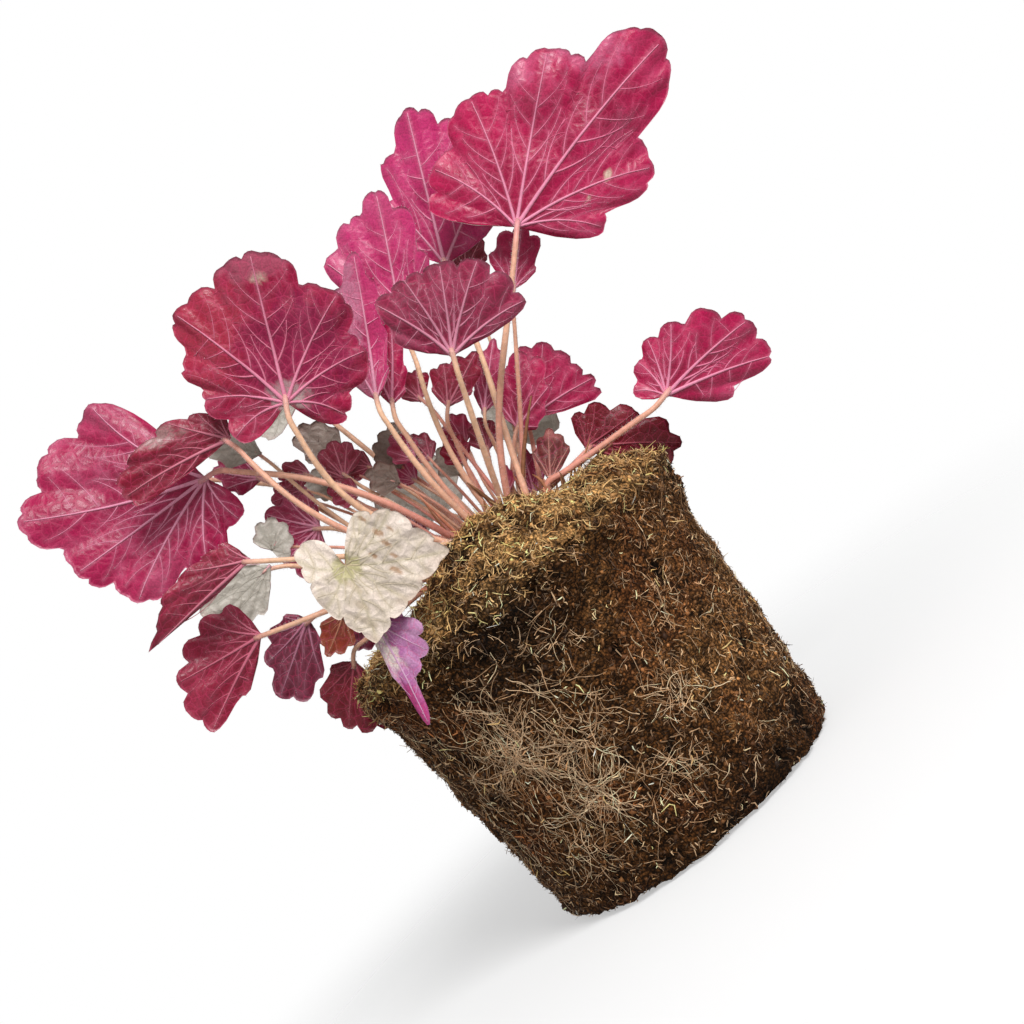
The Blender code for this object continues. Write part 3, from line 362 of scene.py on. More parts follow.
class Blade:
    """The mid-surface of one leaf blade, as a height above the plane that its lobes are drawn in."""

    def __init__(self, leaf):
        self.leaf = leaf
        self.aim = leaf.lobes[len(leaf.lobes) // 2][0]
        turns = [math.radians(self.aim - heading) for heading, _ in leaf.lobes]
        self.lengths = np.array([length for _, length in leaf.lobes], float)
        self.turns = np.array(turns)
        self.size = self.lengths.max()
        edge = 0.55 * np.array([turns[1] - turns[0], turns[-1] - turns[-2]])
        middles = (self.turns[1:] + self.turns[:-1]) / 2
        self.bounds = np.concatenate([[turns[0] - edge[0]], middles, [turns[-1] + edge[1]]])
        means = (self.lengths[1:] + self.lengths[:-1]) / 2
        self.bound_lengths = np.concatenate([[0.5 * self.lengths[0]], means, [0.5 * self.lengths[-1]]])
        self.set_axes()

    def set_axes(self):
        aim, lean = math.radians(self.aim), math.radians(self.leaf.lean)
        along = np.array([math.cos(aim), 0, math.sin(aim)])
        out = np.array([0.0, 1.0, 0.0])
        self.across = np.array([math.sin(aim), 0, -math.cos(aim)])
        self.along = along * math.cos(lean) - out * math.sin(lean)
        self.up = (out * math.cos(lean) + along * math.sin(lean)) * self.leaf.face

    def reach(self, lobe, q):
        """Distance from hilum to edge at q, which runs from -1 to 1 across one lobe."""
        side = lobe + (q > 0)
        bound = self.bound_lengths[side]
        a = np.abs(q)
        base = self.lengths[lobe] + (bound - self.lengths[lobe]) * a**2.0
        inner = (side > 0) & (side < len(self.bounds) - 1)
        base = base * (1 - self.leaf.sinus * inner * a**4.0)
        tooth = np.where(a > NOTCH, (2 * a - 1 - NOTCH) / (1 - NOTCH), a / NOTCH)
        return base * (1 - TOOTH * np.abs(tooth) ** 3.0)

    def turn(self, lobe, q):
        side = lobe + (q > 0)
        return self.turns[lobe] + np.abs(self.bounds[side] - self.turns[lobe]) * q

    def point(self, lobe, q, part):
        """Place of the blade at this share of the way from hilum to edge."""
        leaf, size = self.leaf, self.size
        r = self.reach(lobe, q) * part
        turn = self.turn(lobe, q)
        u, v = r * np.sin(turn) / size, r * np.cos(turn) / size
        height = leaf.cup * u * u + leaf.fold * (np.sqrt(u * u + 0.01) - 0.1)
        height = height - LOBE_ARCH * part**1.5 * np.cos(math.pi * q)
        height = height + EDGE_WAVE * part**2 * np.sin(2.3 * turn + self.size)
        return (
            np.array(leaf.hilum, float)
            + np.multiply.outer(u * size, self.across)
            + np.multiply.outer(v * size, self.along)
            + np.multiply.outer(height * size, self.up)
        )

    def sheet(self):
        """Vertices and triangles of the mid-surface, with the loop of border vertices."""
        count = len(self.lengths)
        steps = (-1.0, -0.55, 0.0, 0.55)
        if self.size > LARGE_BLADE:
            steps = (-1.0, -0.72, -NOTCH, -0.17, 0.17, NOTCH, 0.72)
        outer = [(k, q) for k in range(count) for q in steps] + [(count - 1, 1.0)]
        inner = [(k, q) for k in range(count) for q in (-1.0, 0.0)] + [(count - 1, 1.0)]
        points = [self.point(0, 0.0, 0.0)]
        points += [self.point(k, q, INNER_RING) for k, q in inner]
        points += [self.point(k, q, 1.0) for k, q in outer]
        faces = [(0, 1 + k, 2 + k) for k in range(len(inner) - 1)]
        a, b, first = 0, 0, 1 + len(inner)
        inner_turns = [self.turn(k, q) for k, q in inner]
        outer_turns = [self.turn(k, q) for k, q in outer]
        while a < len(inner) - 1 or b < len(outer) - 1:
            last = a == len(inner) - 1
            if last or (b < len(outer) - 1 and outer_turns[b + 1] <= inner_turns[a + 1] + 1e-6):
                faces.append((1 + a, first + b, first + b + 1))
                b += 1
            else:
                faces.append((1 + a, first + b, 2 + a))
                a += 1
        border = [0, 1, *range(first, first + len(outer)), first - 1]
        return np.array(points), faces, border


def lumps(x, y, z):
    """Smooth unevenness between about -1 and 1, the same wherever it is asked for."""
    return (
        np.sin(0.31 * x + 0.9 * np.sin(0.17 * z + 1.0))
        * np.sin(0.27 * z + 0.8 * np.sin(0.23 * y) + 2.0)
        + 0.7 * np.sin(0.36 * y + 1.3 + 0.5 * np.sin(0.29 * x))
        * np.sin(0.21 * x + 0.33 * z)
    ) / 1.5


def side_radius(turn, z):
    share = z / RIM_HEIGHT
    radius = BASE_RADIUS + (RIM_RADIUS - BASE_RADIUS) * share
    collar = np.clip((z - RIM_HEIGHT + COLLAR_HEIGHT) / (0.6 * COLLAR_HEIGHT), 0, 1)
    radius = radius + COLLAR_BULGE * collar * (1 + 0.8 * np.sin(5 * turn + 1.9))
    x, y = radius * np.cos(turn), radius * np.sin(turn)
    return radius + ROUGHNESS * (1 + collar) * lumps(x, y, z)


def mound(x, y, shape):
    middle_x, middle_y, wide, deep, height = shape
    return height * np.exp(-(((x - middle_x) / wide) ** 2) - ((y - middle_y) / deep) ** 2)


def top_height(x, y):
    """Height of the soil's top: a mossy ridge at the front of the hollow that holds the crown."""
    far = np.hypot(x, y) / RIM_RADIUS
    base = TOP_HEIGHT - TOP_FALL * np.clip(far, 0, 1.1) ** 6
    return base + mound(x, y, RIDGE) + mound(x, y, SHOULDER) + 0.9 * lumps(1.7 * x, 1.7 * y, 20.0)


def ground(x, y):
    """What a stalk must clear: the crown, the funnel round it and the top of the soil."""
    beside = np.hypot(x - CROWN_AT[0], y - CROWN_AT[1]) - CROWN_RADIUS
    if beside < 0:
        return crown_height(x, y)
    return min(top_height(x, y), CROWN_RIM + 1.0 + beside)


def crown_height(x, y):
    far = np.hypot(x - CROWN_AT[0], y - CROWN_AT[1]) / CROWN_RADIUS
    return CROWN_TOP - (CROWN_TOP - CROWN_RIM) * np.clip(far, 0, 1) ** 2


def seats(blades):
    """Where each stalk leaves the crown: drawn toward its leaf, then spread evenly."""
    centre = np.array(CROWN_AT)
    wanted = []
    for blade in blades:
        goal = blade.leaf.way[-1] if blade.leaf.way else blade.leaf.hilum
        pull = np.array(goal[:2]) - centre
        far = np.linalg.norm(pull)
        wanted.append(centre + pull / max(far, 1.0) * min(0.5 * far, CROWN_RADIUS - 6.0))
    spots = np.array(wanted)
    order = np.arange(len(spots))
    spots += 0.05 * np.column_stack([np.sin(7.0 * order), np.cos(5.0 * order)])
    limit = CROWN_RADIUS - 3.6
    for _ in range(400):
        apart = spots[:, None] - spots[None]
        gap = np.linalg.norm(apart, axis=2) + np.eye(len(spots)) * 99
        push = np.clip(SEAT_SPACING - gap, 0, None)[..., None] * apart / gap[..., None]
        spots = spots + 0.35 * push.sum(axis=1)
        pull = spots - centre
        far = np.linalg.norm(pull, axis=1)[:, None]
        spots = centre + pull * np.minimum(1, limit / np.maximum(far, 1e-6))
    return spots


def seat_direction(spot):
    offset = (spot - np.array(CROWN_AT)) / CROWN_RADIUS
    lean = math.tan(math.radians(SEAT_LEAN)) * np.linalg.norm(offset)
    flat = offset / max(np.linalg.norm(offset), 1e-6) * lean
    direction = np.array([flat[0], flat[1], 1.0])
    return direction / np.linalg.norm(direction)


def rope(points, count):
    """A smooth curve through the points, resampled to this many points at even spacing."""
    points = np.asarray(points, float)
    padded = np.vstack([2 * points[0] - points[1], points, 2 * points[-1] - points[-2]])
    curve = []
    for a, b, c, d in zip(padded, padded[1:], padded[2:], padded[3:]):
        for t in np.linspace(0, 1, 12, endpoint=False):
            curve.append(
                0.5 * (2 * b + (c - a) * t + (2 * a - 5 * b + 4 * c - d) * t * t
                       + (3 * b - a - 3 * c + d) * t**3)
            )
    curve.append(points[-1])
    curve = np.array(curve)
    length = np.concatenate([[0], np.cumsum(np.linalg.norm(np.diff(curve, axis=0), axis=1))])
    even = np.linspace(0, length[-1], count)
    return np.column_stack([np.interp(even, length, curve[:, k]) for k in range(3)])


def landing(blade):
    """Where a stalk meets the underside of its blade, a little in front of the hilum."""
    hilum = np.array(blade.leaf.hilum, float)
    return hilum + blade.along * min(2.2, 0.16 * blade.size) - blade.up * (0.9 * blade.leaf.stalk)


def first_route(blade, spot):
    """Stalk from its seat in the crown to just under the hilum."""
    way = seat_direction(spot)
    mouth = np.array([spot[0], spot[1], float(crown_height(*spot))])
    end = landing(blade)
    points = [mouth, mouth + way * 9.0]
    points += [np.array(p, float) for p in blade.leaf.way[::-1]]
    if not blade.leaf.way:
        span = np.linalg.norm(end - mouth)
        points.append(mouth + way * 0.45 * span + (end - mouth) * 0.12)
    arrival = (end - points[-1]) / np.linalg.norm(end - points[-1])
    inward = 0.7 * arrival + 0.25 * blade.along + 0.3 * blade.up
    inward = inward / np.linalg.norm(inward)
    points += [end - inward * 7.0, end]
    length = sum(np.linalg.norm(b - a) for a, b in zip(points, points[1:]))
    return rope(points, max(8, int(length / 7.0)))


def relax(blades, routes):
    """Moves the middles of the stalks until they clear each other, the blades and the soil."""
    fine = 3
    sheets = [blade.sheet()[:2] for blade in blades]
    corners, triangles, owner = [], [], []
    for index, (points, faces) in enumerate(sheets):
        start = sum(len(c) for c in corners)
        corners.append(points)
        triangles += [tuple(start + i for i in face) for face in faces]
        owner += [index] * len(faces)
    tree = BVHTree.FromPolygons([Vector(p) for p in np.vstack(corners)], triangles)
    for step in range(90):
        dense, ids, radii, shares = [], [], [], []
        for index, route in enumerate(routes):
            count = (len(route) - 1) * fine + 1
            share = np.linspace(0, len(route) - 1, count)
            low = np.minimum(share.astype(int), len(route) - 2)
            part = (share - low)[:, None]
            dense.append(route[low] * (1 - part) + route[low + 1] * part)
            ids += [index] * count
            radii += [blades[index].leaf.stalk] * count
            shares += list(share)
        points = np.vstack(dense)
        ids, radii, shares = np.array(ids), np.array(radii), np.array(shares)
        move = np.zeros_like(points)
        for index in range(len(routes)):
            mine = ids == index
            apart = points[mine][:, None] - points[~mine][None]
            gap = np.linalg.norm(apart, axis=2)
            need = radii[mine][:, None] + radii[~mine][None] + STALK_GAP
            worst = np.argmax(need - gap, axis=1)
            rows = np.arange(len(worst))
            lack = (need - gap)[rows, worst]
            push = apart[rows, worst] / np.maximum(gap[rows, worst], 0.05)[:, None]
            move[mine] += np.clip(lack, 0, 3)[:, None] * push * 0.6
        for k, place in enumerate(points):
            reach = radii[k] + BLADE_GAP
            last = len(routes[ids[k]]) - 1
            for found, _, face, distance in tree.find_nearest_range(Vector(place), reach):
                if owner[face] == ids[k] and shares[k] > last - 2.2:
                    continue
                away = place - np.array(found)
                away = away / max(np.linalg.norm(away), 0.05)
                move[k] += away * (reach - distance) * 0.5
                break
            floor = float(ground(place[0], place[1])) + 1.3 * radii[k] + 0.8
            inside = np.hypot(place[0], place[1]) < RIM_RADIUS + 4
            if inside and place[2] < floor and shares[k] < last - 1:
                move[k, 2] += (floor - place[2]) * 0.6
        for index, route in enumerate(routes):
            mine = ids == index
            shift = np.zeros_like(route)
            weight = np.zeros(len(route))
            for place, delta in zip(shares[mine], move[mine]):
                if not delta.any():
                    continue
                near = np.clip(1 - np.abs(np.arange(len(route)) - place) / 1.6, 0, 1)
                shift += near[:, None] * delta
                weight += near
            shift = shift / np.maximum(weight, 1.0)[:, None]
            bend = np.zeros_like(route)
            bend[1:-1] = (route[:-2] + route[2:]) / 2 - route[1:-1]
            shift = shift + 0.2 * bend
            shift[:2] = 0
            shift[-2:] = 0
            routes[index] = route + shift
    return routes


AXIS_PRIMES = (374761393, 668265263, 915488749)
SEED_PRIME = 1442695041
MIX_PRIME = 1274126177


def lattice(cell, seed):
    """A steady random number between -1 and 1 for each lattice cell."""
    mixed = sum(cell[..., axis] * prime for axis, prime in enumerate(AXIS_PRIMES)) + seed * SEED_PRIME
    mixed = mixed & 0xFFFFFFFF
    mixed = ((mixed ^ (mixed >> 13)) * MIX_PRIME) & 0xFFFFFFFF
    mixed = mixed ^ (mixed >> 16)
    return mixed / 2147483647.5 - 1.0


def noise(points, size, seed=0):
    """Smooth value noise between -1 and 1 with cells of this size."""
    place = np.asarray(points, float) / size
    cell = np.floor(place).astype(np.int64)
    part = place - cell
    part = part * part * (3 - 2 * part)
    total = 0.0
    for corner in np.ndindex(2, 2, 2):
        weight = np.prod(np.where(np.array(corner, bool), part, 1 - part), axis=-1)
        total = total + weight * lattice(cell + np.array(corner), seed)
    return total


def smooth(value, low, high):
    share = np.clip((value - low) / (high - low), 0, 1)
    return share * share * (3 - 2 * share)


def mix(a, b, share):
    """Colours a and b mixed, where share is a number or an array with one value for each point."""
    share = np.asarray(share, float)[..., None]
    return np.asarray(a, float) * (1 - share) + np.asarray(b, float) * share


class Mesh:
    """Collects points, faces, paint and flat coordinates of one piece, then makes its object."""

    def __init__(self):
        self.points, self.paint, self.flat = [], [], []
        self.faces, self.slots = [], []
        self.count = 0

    def add(self, points, faces, slot, paint, flat=None):
        points = np.asarray(points, float).reshape(-1, 3)
        self.points.append(points)
        self.paint.append(np.broadcast_to(np.asarray(paint, float).reshape(-1, 3), points.shape))
        self.flat.append(np.zeros((len(points), 2)) if flat is None else np.asarray(flat).reshape(-1, 2))
        self.faces.append(np.asarray(faces, np.int64) + self.count)
        self.slots.append(slot)
        self.count += len(points)

    def join(self, faces, slot, back):
        """Adds faces between the points that were added last, this many of them."""
        self.faces.append(faces + self.count - back)
        self.slots.append(slot)

    def make(self, name, materials):
        mesh = bpy.data.meshes.new(name)
        points = np.vstack(self.points) * MM
        points[:, 2] = np.maximum(points[:, 2], 0.0)
        mesh.vertices.add(len(points))
        mesh.vertices.foreach_set("co", points.ravel())
        corners = np.concatenate([faces.ravel() for faces in self.faces])
        sizes = np.concatenate([np.full(len(faces), faces.shape[1]) for faces in self.faces])
        slot = np.concatenate([np.full(len(f), s) for f, s in zip(self.faces, self.slots)])
        mesh.loops.add(len(corners))
        mesh.loops.foreach_set("vertex_index", corners)
        mesh.polygons.add(len(sizes))
        mesh.polygons.foreach_set("loop_start", np.concatenate([[0], np.cumsum(sizes)[:-1]]))
        mesh.polygons.foreach_set("material_index", slot)
        mesh.polygons.foreach_set("use_smooth", np.ones(len(sizes), bool))
        mesh.update(calc_edges=True)
        paint = np.hstack([np.vstack(self.paint), np.ones((len(points), 1))])
        mesh.color_attributes.new("paint", "FLOAT_COLOR", "POINT").data.foreach_set("color", paint.ravel())
        flat = np.vstack(self.flat)[corners]
        mesh.uv_layers.new(name="flat").data.foreach_set("uv", flat.ravel())
        piece = bpy.data.objects.new(name, mesh)
        bpy.context.scene.collection.objects.link(piece)
        for material in materials:
            mesh.materials.append(material)
        return piece


def tubes(paths, radii, sides):
    """Points, sides and caps of many tubes: paths is tube by step by 3, radii tube by step."""
    paths = np.asarray(paths, float)
    many, steps, _ = paths.shape
    tangents = np.gradient(paths, axis=1)
    tangents /= np.maximum(np.linalg.norm(tangents, axis=2), 1e-9)[..., None]
    guide = np.cross(tangents[:, 0], (0.31, 0.87, 0.38))
    rings = []
    turn = 2 * math.pi * np.arange(sides) / sides
    for step in range(steps):
        tangent = tangents[:, step]
        guide = guide - tangent * (guide * tangent).sum(axis=1)[:, None]
        guide /= np.maximum(np.linalg.norm(guide, axis=1), 1e-9)[:, None]
        other = np.cross(tangent, guide)
        ring = guide[:, None] * np.cos(turn)[:, None] + other[:, None] * np.sin(turn)[:, None]
        rings.append(paths[:, step, None] + ring * radii[:, step, None, None])
    points = np.stack(rings, axis=1).reshape(-1, 3)
    start = (np.arange(many) * steps * sides)[:, None, None]
    low = np.arange(steps - 1)[None, :, None] * sides
    side = np.arange(sides)[None, None]
    turned = (side + 1) % sides
    quads = np.stack([start + low + side, start + low + turned,
                      start + low + sides + turned, start + low + sides + side], axis=-1)
    first = start[:, 0, 0, None] + np.arange(sides)[::-1]
    last = start[:, 0, 0, None] + (steps - 1) * sides + np.arange(sides)
    return points, quads.reshape(-1, 4), np.vstack([first, last])


def add_tubes(mesh, paths, radii, sides, slot, paint):
    """Adds tubes with one colour for each step of each tube."""
    points, faces, caps = tubes(paths, radii, sides)
    paint = np.broadcast_to(paint, (*np.asarray(radii).shape, 3))
    mesh.add(points, faces, slot, np.repeat(paint.reshape(-1, 3), sides, axis=0))
    mesh.join(caps, slot, len(points))


def add_hairs(mesh, roots, directions, lengths, radius, slot, colour):
    """Adds three-sided hairs that run from their roots to a point."""
    directions = directions / np.linalg.norm(directions, axis=1)[:, None]
    guide = np.cross(directions, (0.2, 0.5, 0.84))
    guide /= np.linalg.norm(guide, axis=1)[:, None]
    other = np.cross(directions, guide)
    points = []
    for k in range(3):
        turn = 2 * math.pi * k / 3
        points.append(roots + radius * (guide * math.cos(turn) + other * math.sin(turn)))
    points.append(roots + directions * lengths[:, None])
    points = np.stack(points, axis=1).reshape(-1, 3)
    first = 4 * np.arange(len(roots))[:, None]
    faces = np.concatenate([first + [0, 1, 3], first + [1, 2, 3], first + [2, 0, 3]])
    mesh.add(points, faces, slot, colour)


def lobule_count(blade, lobe):
    """Number of round lobules along the edge of each lobe."""
    arc = blade.lengths[lobe] * (blade.bounds[lobe + 1] - blade.bounds[lobe])
    return np.maximum(np.round(arc / LOBULE), 1)


def edge_columns(blade, spacing):
    """Lobe and place across it of each column of the fine grid, with columns on all the notches."""
    lobes, places = [], []
    for lobe in range(len(blade.lengths)):
        arc = blade.lengths[lobe] * (blade.bounds[lobe + 1] - blade.bounds[lobe])
        many = int(lobule_count(blade, lobe))
        each = int(np.clip(round(arc * 1.1 / spacing / many), 4, 9))
        places += list(np.linspace(-1.0, 1.0, many * each, endpoint=False))
        lobes += [lobe] * (many * each)
    return np.array(lobes + [len(blade.lengths) - 1]), np.array(places + [1.0])


def smooth_reach(blade, lobe, q):
    """Edge without its notches, led smoothly from the end of each lobe to that of the next."""
    last = len(blade.bounds) - 1
    side = lobe + (q > 0)
    beside = np.clip(lobe + np.where(q > 0, 1, -1), 0, last - 1)
    a = np.abs(q)
    own, other = blade.lengths[lobe], blade.lengths[beside]
    between = np.abs(blade.turns[beside] - blade.turns[lobe])
    between = np.where(between > 0, between, 1.0)
    off = 0.5 * a * between
    chord = own * other * np.sin(between) / (own * np.sin(off) + other * np.sin(between - off))
    eased = own + (other - own) * smooth(a / 2, 0.0, 1.0)
    share = 0.9 if blade.leaf.sinus <= 0.05 else 0.15
    joined = eased + share * (chord - eased)
    if blade.leaf.sinus > 0.05:
        step = 0.14 * np.abs(own - other)
        joined = np.where(own > other, joined - step * a**9.0, np.minimum(joined, own + 0.4 * step * a))
        joined = np.where((own <= other) & (a > 0.999), 0.5 * (own + other) - step, joined)
    inner = (side > 0) & (side < last)
    outer = own + (blade.bound_lengths[side] - own) * a**2.2
    return np.where(inner, joined, outer), inner


def fine_reach(blade, lobe, q):
    """Edge of the fine blade: round lobes and lobules with narrow notches between them."""
    base, inner = smooth_reach(blade, lobe, q)
    a = np.abs(q)
    arcs = blade.lengths * np.diff(blade.bounds)
    beside = np.clip(lobe + np.where(q > 0, 1, -1), 0, len(arcs) - 1)
    depth = np.minimum(blade.leaf.sinus * base, NOTCH_SHARE * np.minimum(arcs[lobe], arcs[beside]))
    base = base - inner * depth * (0.30 * a**3.0 + 0.70 * a**12.0)
    many = lobule_count(blade, lobe)
    place = (q + 1) / 2 * many
    tooth = 2 * (place - np.floor(np.minimum(place, many - 1e-6))) - 1
    deep = 0.75 + 0.5 * np.sin(5.0 * lobe + 3.0 * blade.size + 2.3 * np.floor(place))
    scallop = 0.85 * np.abs(tooth) ** 2.2 + 0.65 * np.abs(tooth) ** 9.0
    small = 0.20 * (1 - np.abs(np.sin(1.5 * math.pi * tooth))) ** 1.5
    wide = np.minimum(arcs[lobe] / many / LOBULE, 1.0)
    return base - wide * min(1.0, blade.size / 38) * (deep * scallop + small)


def flat_place(blade, lobe, q, part):
    """Place in the flat blade, in millimetres across and along the midrib from the hilum."""
    reach = fine_reach(blade, lobe, q) * part
    turn = blade.turn(lobe, q)
    return np.stack([reach * np.sin(turn), reach * np.cos(turn)], axis=-1)


def locate(blade, flat):
    """Lobe, place across it and share of the way to the edge of flat places."""
    turn = np.arctan2(flat[..., 0], flat[..., 1])
    turn = np.where(turn < blade.bounds[0], turn + 2 * math.pi, turn)
    lobe = np.clip(np.searchsorted(blade.bounds, turn) - 1, 0, len(blade.lengths) - 1)
    off = turn - blade.turns[lobe]
    side = lobe + (off > 0)
    q = np.clip(off / np.abs(blade.bounds[side] - blade.turns[lobe]), -1, 1)
    part = np.linalg.norm(flat, axis=-1) / np.maximum(fine_reach(blade, lobe, q), 1e-6)
    return lobe, q, np.clip(part, 0, 1)


def base_height(blade, lobe, q, part):
    """The solid blade's own form."""
    leaf, size = blade.leaf, blade.size
    turn = blade.turn(lobe, q)
    u = fine_reach(blade, lobe, q) * part * np.sin(turn) / size
    height = leaf.cup * u * u + leaf.fold * (np.sqrt(u * u + 0.01) - 0.1)
    arc = blade.lengths[lobe] * (blade.bounds[lobe + 1] - blade.bounds[lobe])
    arch = np.minimum(LOBE_ARCH, 0.075 * arc / size)
    height = height - ARCH_SHARE * arch * part**1.5 * np.cos(math.pi * q)
    height = height + EDGE_WAVE * part**2 * np.sin(2.3 * turn + size)
    return height * size


def between_lobes(blade, lobe, q, part):
    """How close a place is to the pleat that runs in from the notch between two lobes."""
    side = lobe + (q > 0)
    inner = (side > 0) & (side < len(blade.bounds) - 1)
    wide = np.minimum((blade.bounds[lobe + 1] - blade.bounds[lobe]) / 0.45, 1.0)
    return wide**2 * inner * np.exp(-(((1 - np.abs(q)) / 0.18) ** 2)) * smooth(part, 0.4, 1.0)


def soft_form(blade, flat, lobe, q, part):
    """Slow waves of the living blade and the ruffle of its edge."""
    seed = int(blade.size * 10)
    flat3 = np.concatenate([flat, np.full((*flat.shape[:-1], 1), 0.5)], axis=-1)
    share = min(1.0, blade.size / 40)
    waves = 2.2 * noise(flat3, 17.0, seed) + 0.4 * noise(flat3, 7.0, seed + 1)
    slow = share * waves * np.minimum(part * 2, 1)
    along = blade.turn(lobe, q) * blade.lengths[lobe]
    ruffle = RUFFLE * share * smooth(part, 0.62, 1.0) * np.sin(2 * math.pi * along / RUFFLE_LENGTH + seed)
    many = lobule_count(blade, lobe)
    place = (q + 1) / 2 * many
    lobule = 2 * (place - np.floor(np.minimum(place, many - 1e-6))) - 1
    if blade.leaf.name in DRY_LEAVES:
        slow = slow + 0.42 * noise(flat3 * (1.0, 0.35, 1.0), 1.9, seed + 2)
    pleat = 0.3 * share * between_lobes(blade, lobe, q, part)
    return slow + 0.6 * ruffle + pleat - 0.5 * share * part**4 * (1 - lobule**2)


def curve(start, bend, end, steps):
    """Points of a smooth curve from start toward bend to end."""
    t = np.linspace(0, 1, steps)[:, None]
    return (1 - t) ** 2 * start + 2 * t * (1 - t) * bend + t**2 * end


def place_on(blade, lobe, q, part):
    return flat_place(blade, np.array([lobe]), np.array([q]), np.array([part]))[0]


def main_lobes(blade):
    """Lobes that carry a main vein: the longest, then any that stand well apart from those."""
    chosen = []
    for lobe in np.argsort(-blade.lengths):
        apart = [abs(blade.turns[lobe] - blade.turns[other]) for other in chosen]
        if min(apart, default=9.0) > VEIN_APART:
            chosen.append(int(lobe))
    return sorted(chosen)


def vein_target(blade, turn, part):
    """Place at a heading from the midrib, at this share of the way to the edge."""
    lobe, q, _ = locate(blade, np.array([[math.sin(turn), math.cos(turn)]]))
    return place_on(blade, lobe[0], q[0], part)


def vein_paths(blade, rng):
    """Flat path, widths and rank of the main veins, their branches and the branches' forks."""
    veins = []
    main_width = VEIN_SHARE * blade.leaf.stalk
    for lobe in main_lobes(blade):
        length = blade.lengths[lobe]
        strong = (0.55 + 0.45 * length / blade.size) * main_width
        steps = max(9, int(length / 2.2))
        end = place_on(blade, lobe, rng.uniform(-0.12, 0.12), 0.965)
        lead = 0.80 * blade.turns[lobe] + rng.uniform(-0.05, 0.05)
        bend = 0.5 * length * np.array([math.sin(lead), math.cos(lead)])
        main = curve(np.zeros(2), bend, end, steps)
        run = np.linspace(0, 1, steps)
        veins.append((main, strong * (1 - 0.82 * run**0.7), 0))
        if length < SHORTEST_BRANCHED:
            continue
        order = sorted(blade.turns[other] for other in main_lobes(blade))
        rank = order.index(blade.turns[lobe])
        left = (order[rank - 1] - order[rank]) / 2 if rank else blade.bounds[0] - order[0]
        last = rank + 1 == len(order)
        right = blade.bounds[-1] - order[-1] if last else (order[rank + 1] - order[rank]) / 2
        starts = np.arange(0.25, 0.84, max(0.15, BRANCH_SPACING / length))
        for number, start in enumerate(starts):
            for sign in (1, -1):
                share = start + 0.035 * sign * (-1) ** lobe + rng.uniform(-0.02, 0.02)
                at = int(share * (steps - 1))
                edge = (left if sign < 0 else right) * rng.uniform(0.62, 0.92)
                tip = min(share + rng.uniform(0.24, 0.36) * (1.15 - 0.4 * share), 0.94)
                heading = math.atan2(main[at][0], main[at][1])
                heading = heading if abs(heading - blade.turns[lobe]) < math.pi else blade.turns[lobe]
                heading = 0.5 * heading + 0.5 * blade.turns[lobe]
                target = vein_target(blade, heading + edge * (1.0 if start < 0.6 else 0.8), tip)
                span = target - main[at]
                away = np.array([main[at + 1][1] - main[at][1], main[at][0] - main[at + 1][0]])
                away = away * sign / max(np.linalg.norm(away), 1e-6)
                bend = main[at] + 0.5 * span + away * 0.16 * np.linalg.norm(span)
                branch = curve(main[at], bend, target, 8)
                width = strong * (1 - 0.82 * share**0.7) * rng.uniform(0.50, 0.78)
                thin = np.linspace(0, 1, 8)
                veins.append((branch, width * (1 - 0.65 * thin), 1))
                if length < SHORTEST_FORKED:
                    continue
                for fork in (3, 5):
                    out = branch[fork] - main[at]
                    out = out / max(np.linalg.norm(out), 1e-6)
                    aside = np.array([-out[1], out[0]]) * rng.choice([-1, 1])
                    size = rng.uniform(0.35, 0.6) * np.linalg.norm(span)
                    finish = branch[fork] + size * (0.75 * out + 0.65 * aside)
                    place = locate(blade, finish[None])
                    if place[2][0] < 0.93 and abs(place[1][0]) < 0.97:
                        way = branch[fork] + 0.5 * size * (out + 0.1 * aside)
                        path = curve(branch[fork], way, finish, 5)
                        veins.append((path, 0.55 * width * np.linspace(1, 0.5, 5), 2))
    return veins


def vein_distance(flat, lines):
    """Distance from each flat place to the nearest vein and that vein's rank."""
    starts = np.vstack([line[:-1] for line, _ in lines])
    ends = np.vstack([line[1:] for line, _ in lines])
    ranks = np.concatenate([np.full(len(line) - 1, rank) for line, rank in lines])
    span = ends - starts
    long = np.maximum((span**2).sum(axis=1), 1e-9)
    places = flat.reshape(-1, 2)
    near = np.full(len(places), 99.0)
    rank = np.zeros(len(places), int)
    for first in range(0, len(places), 4000):
        block = places[first : first + 4000]
        off = block[:, None] - starts[None]
        share = np.clip((off * span).sum(axis=2) / long, 0, 1)
        gap = np.linalg.norm(off - share[..., None] * span, axis=2)
        best = gap.argmin(axis=1)
        near[first : first + 4000] = gap[np.arange(len(block)), best]
        rank[first : first + 4000] = ranks[best]
    return near.reshape(flat.shape[:-1]), rank.reshape(flat.shape[:-1])


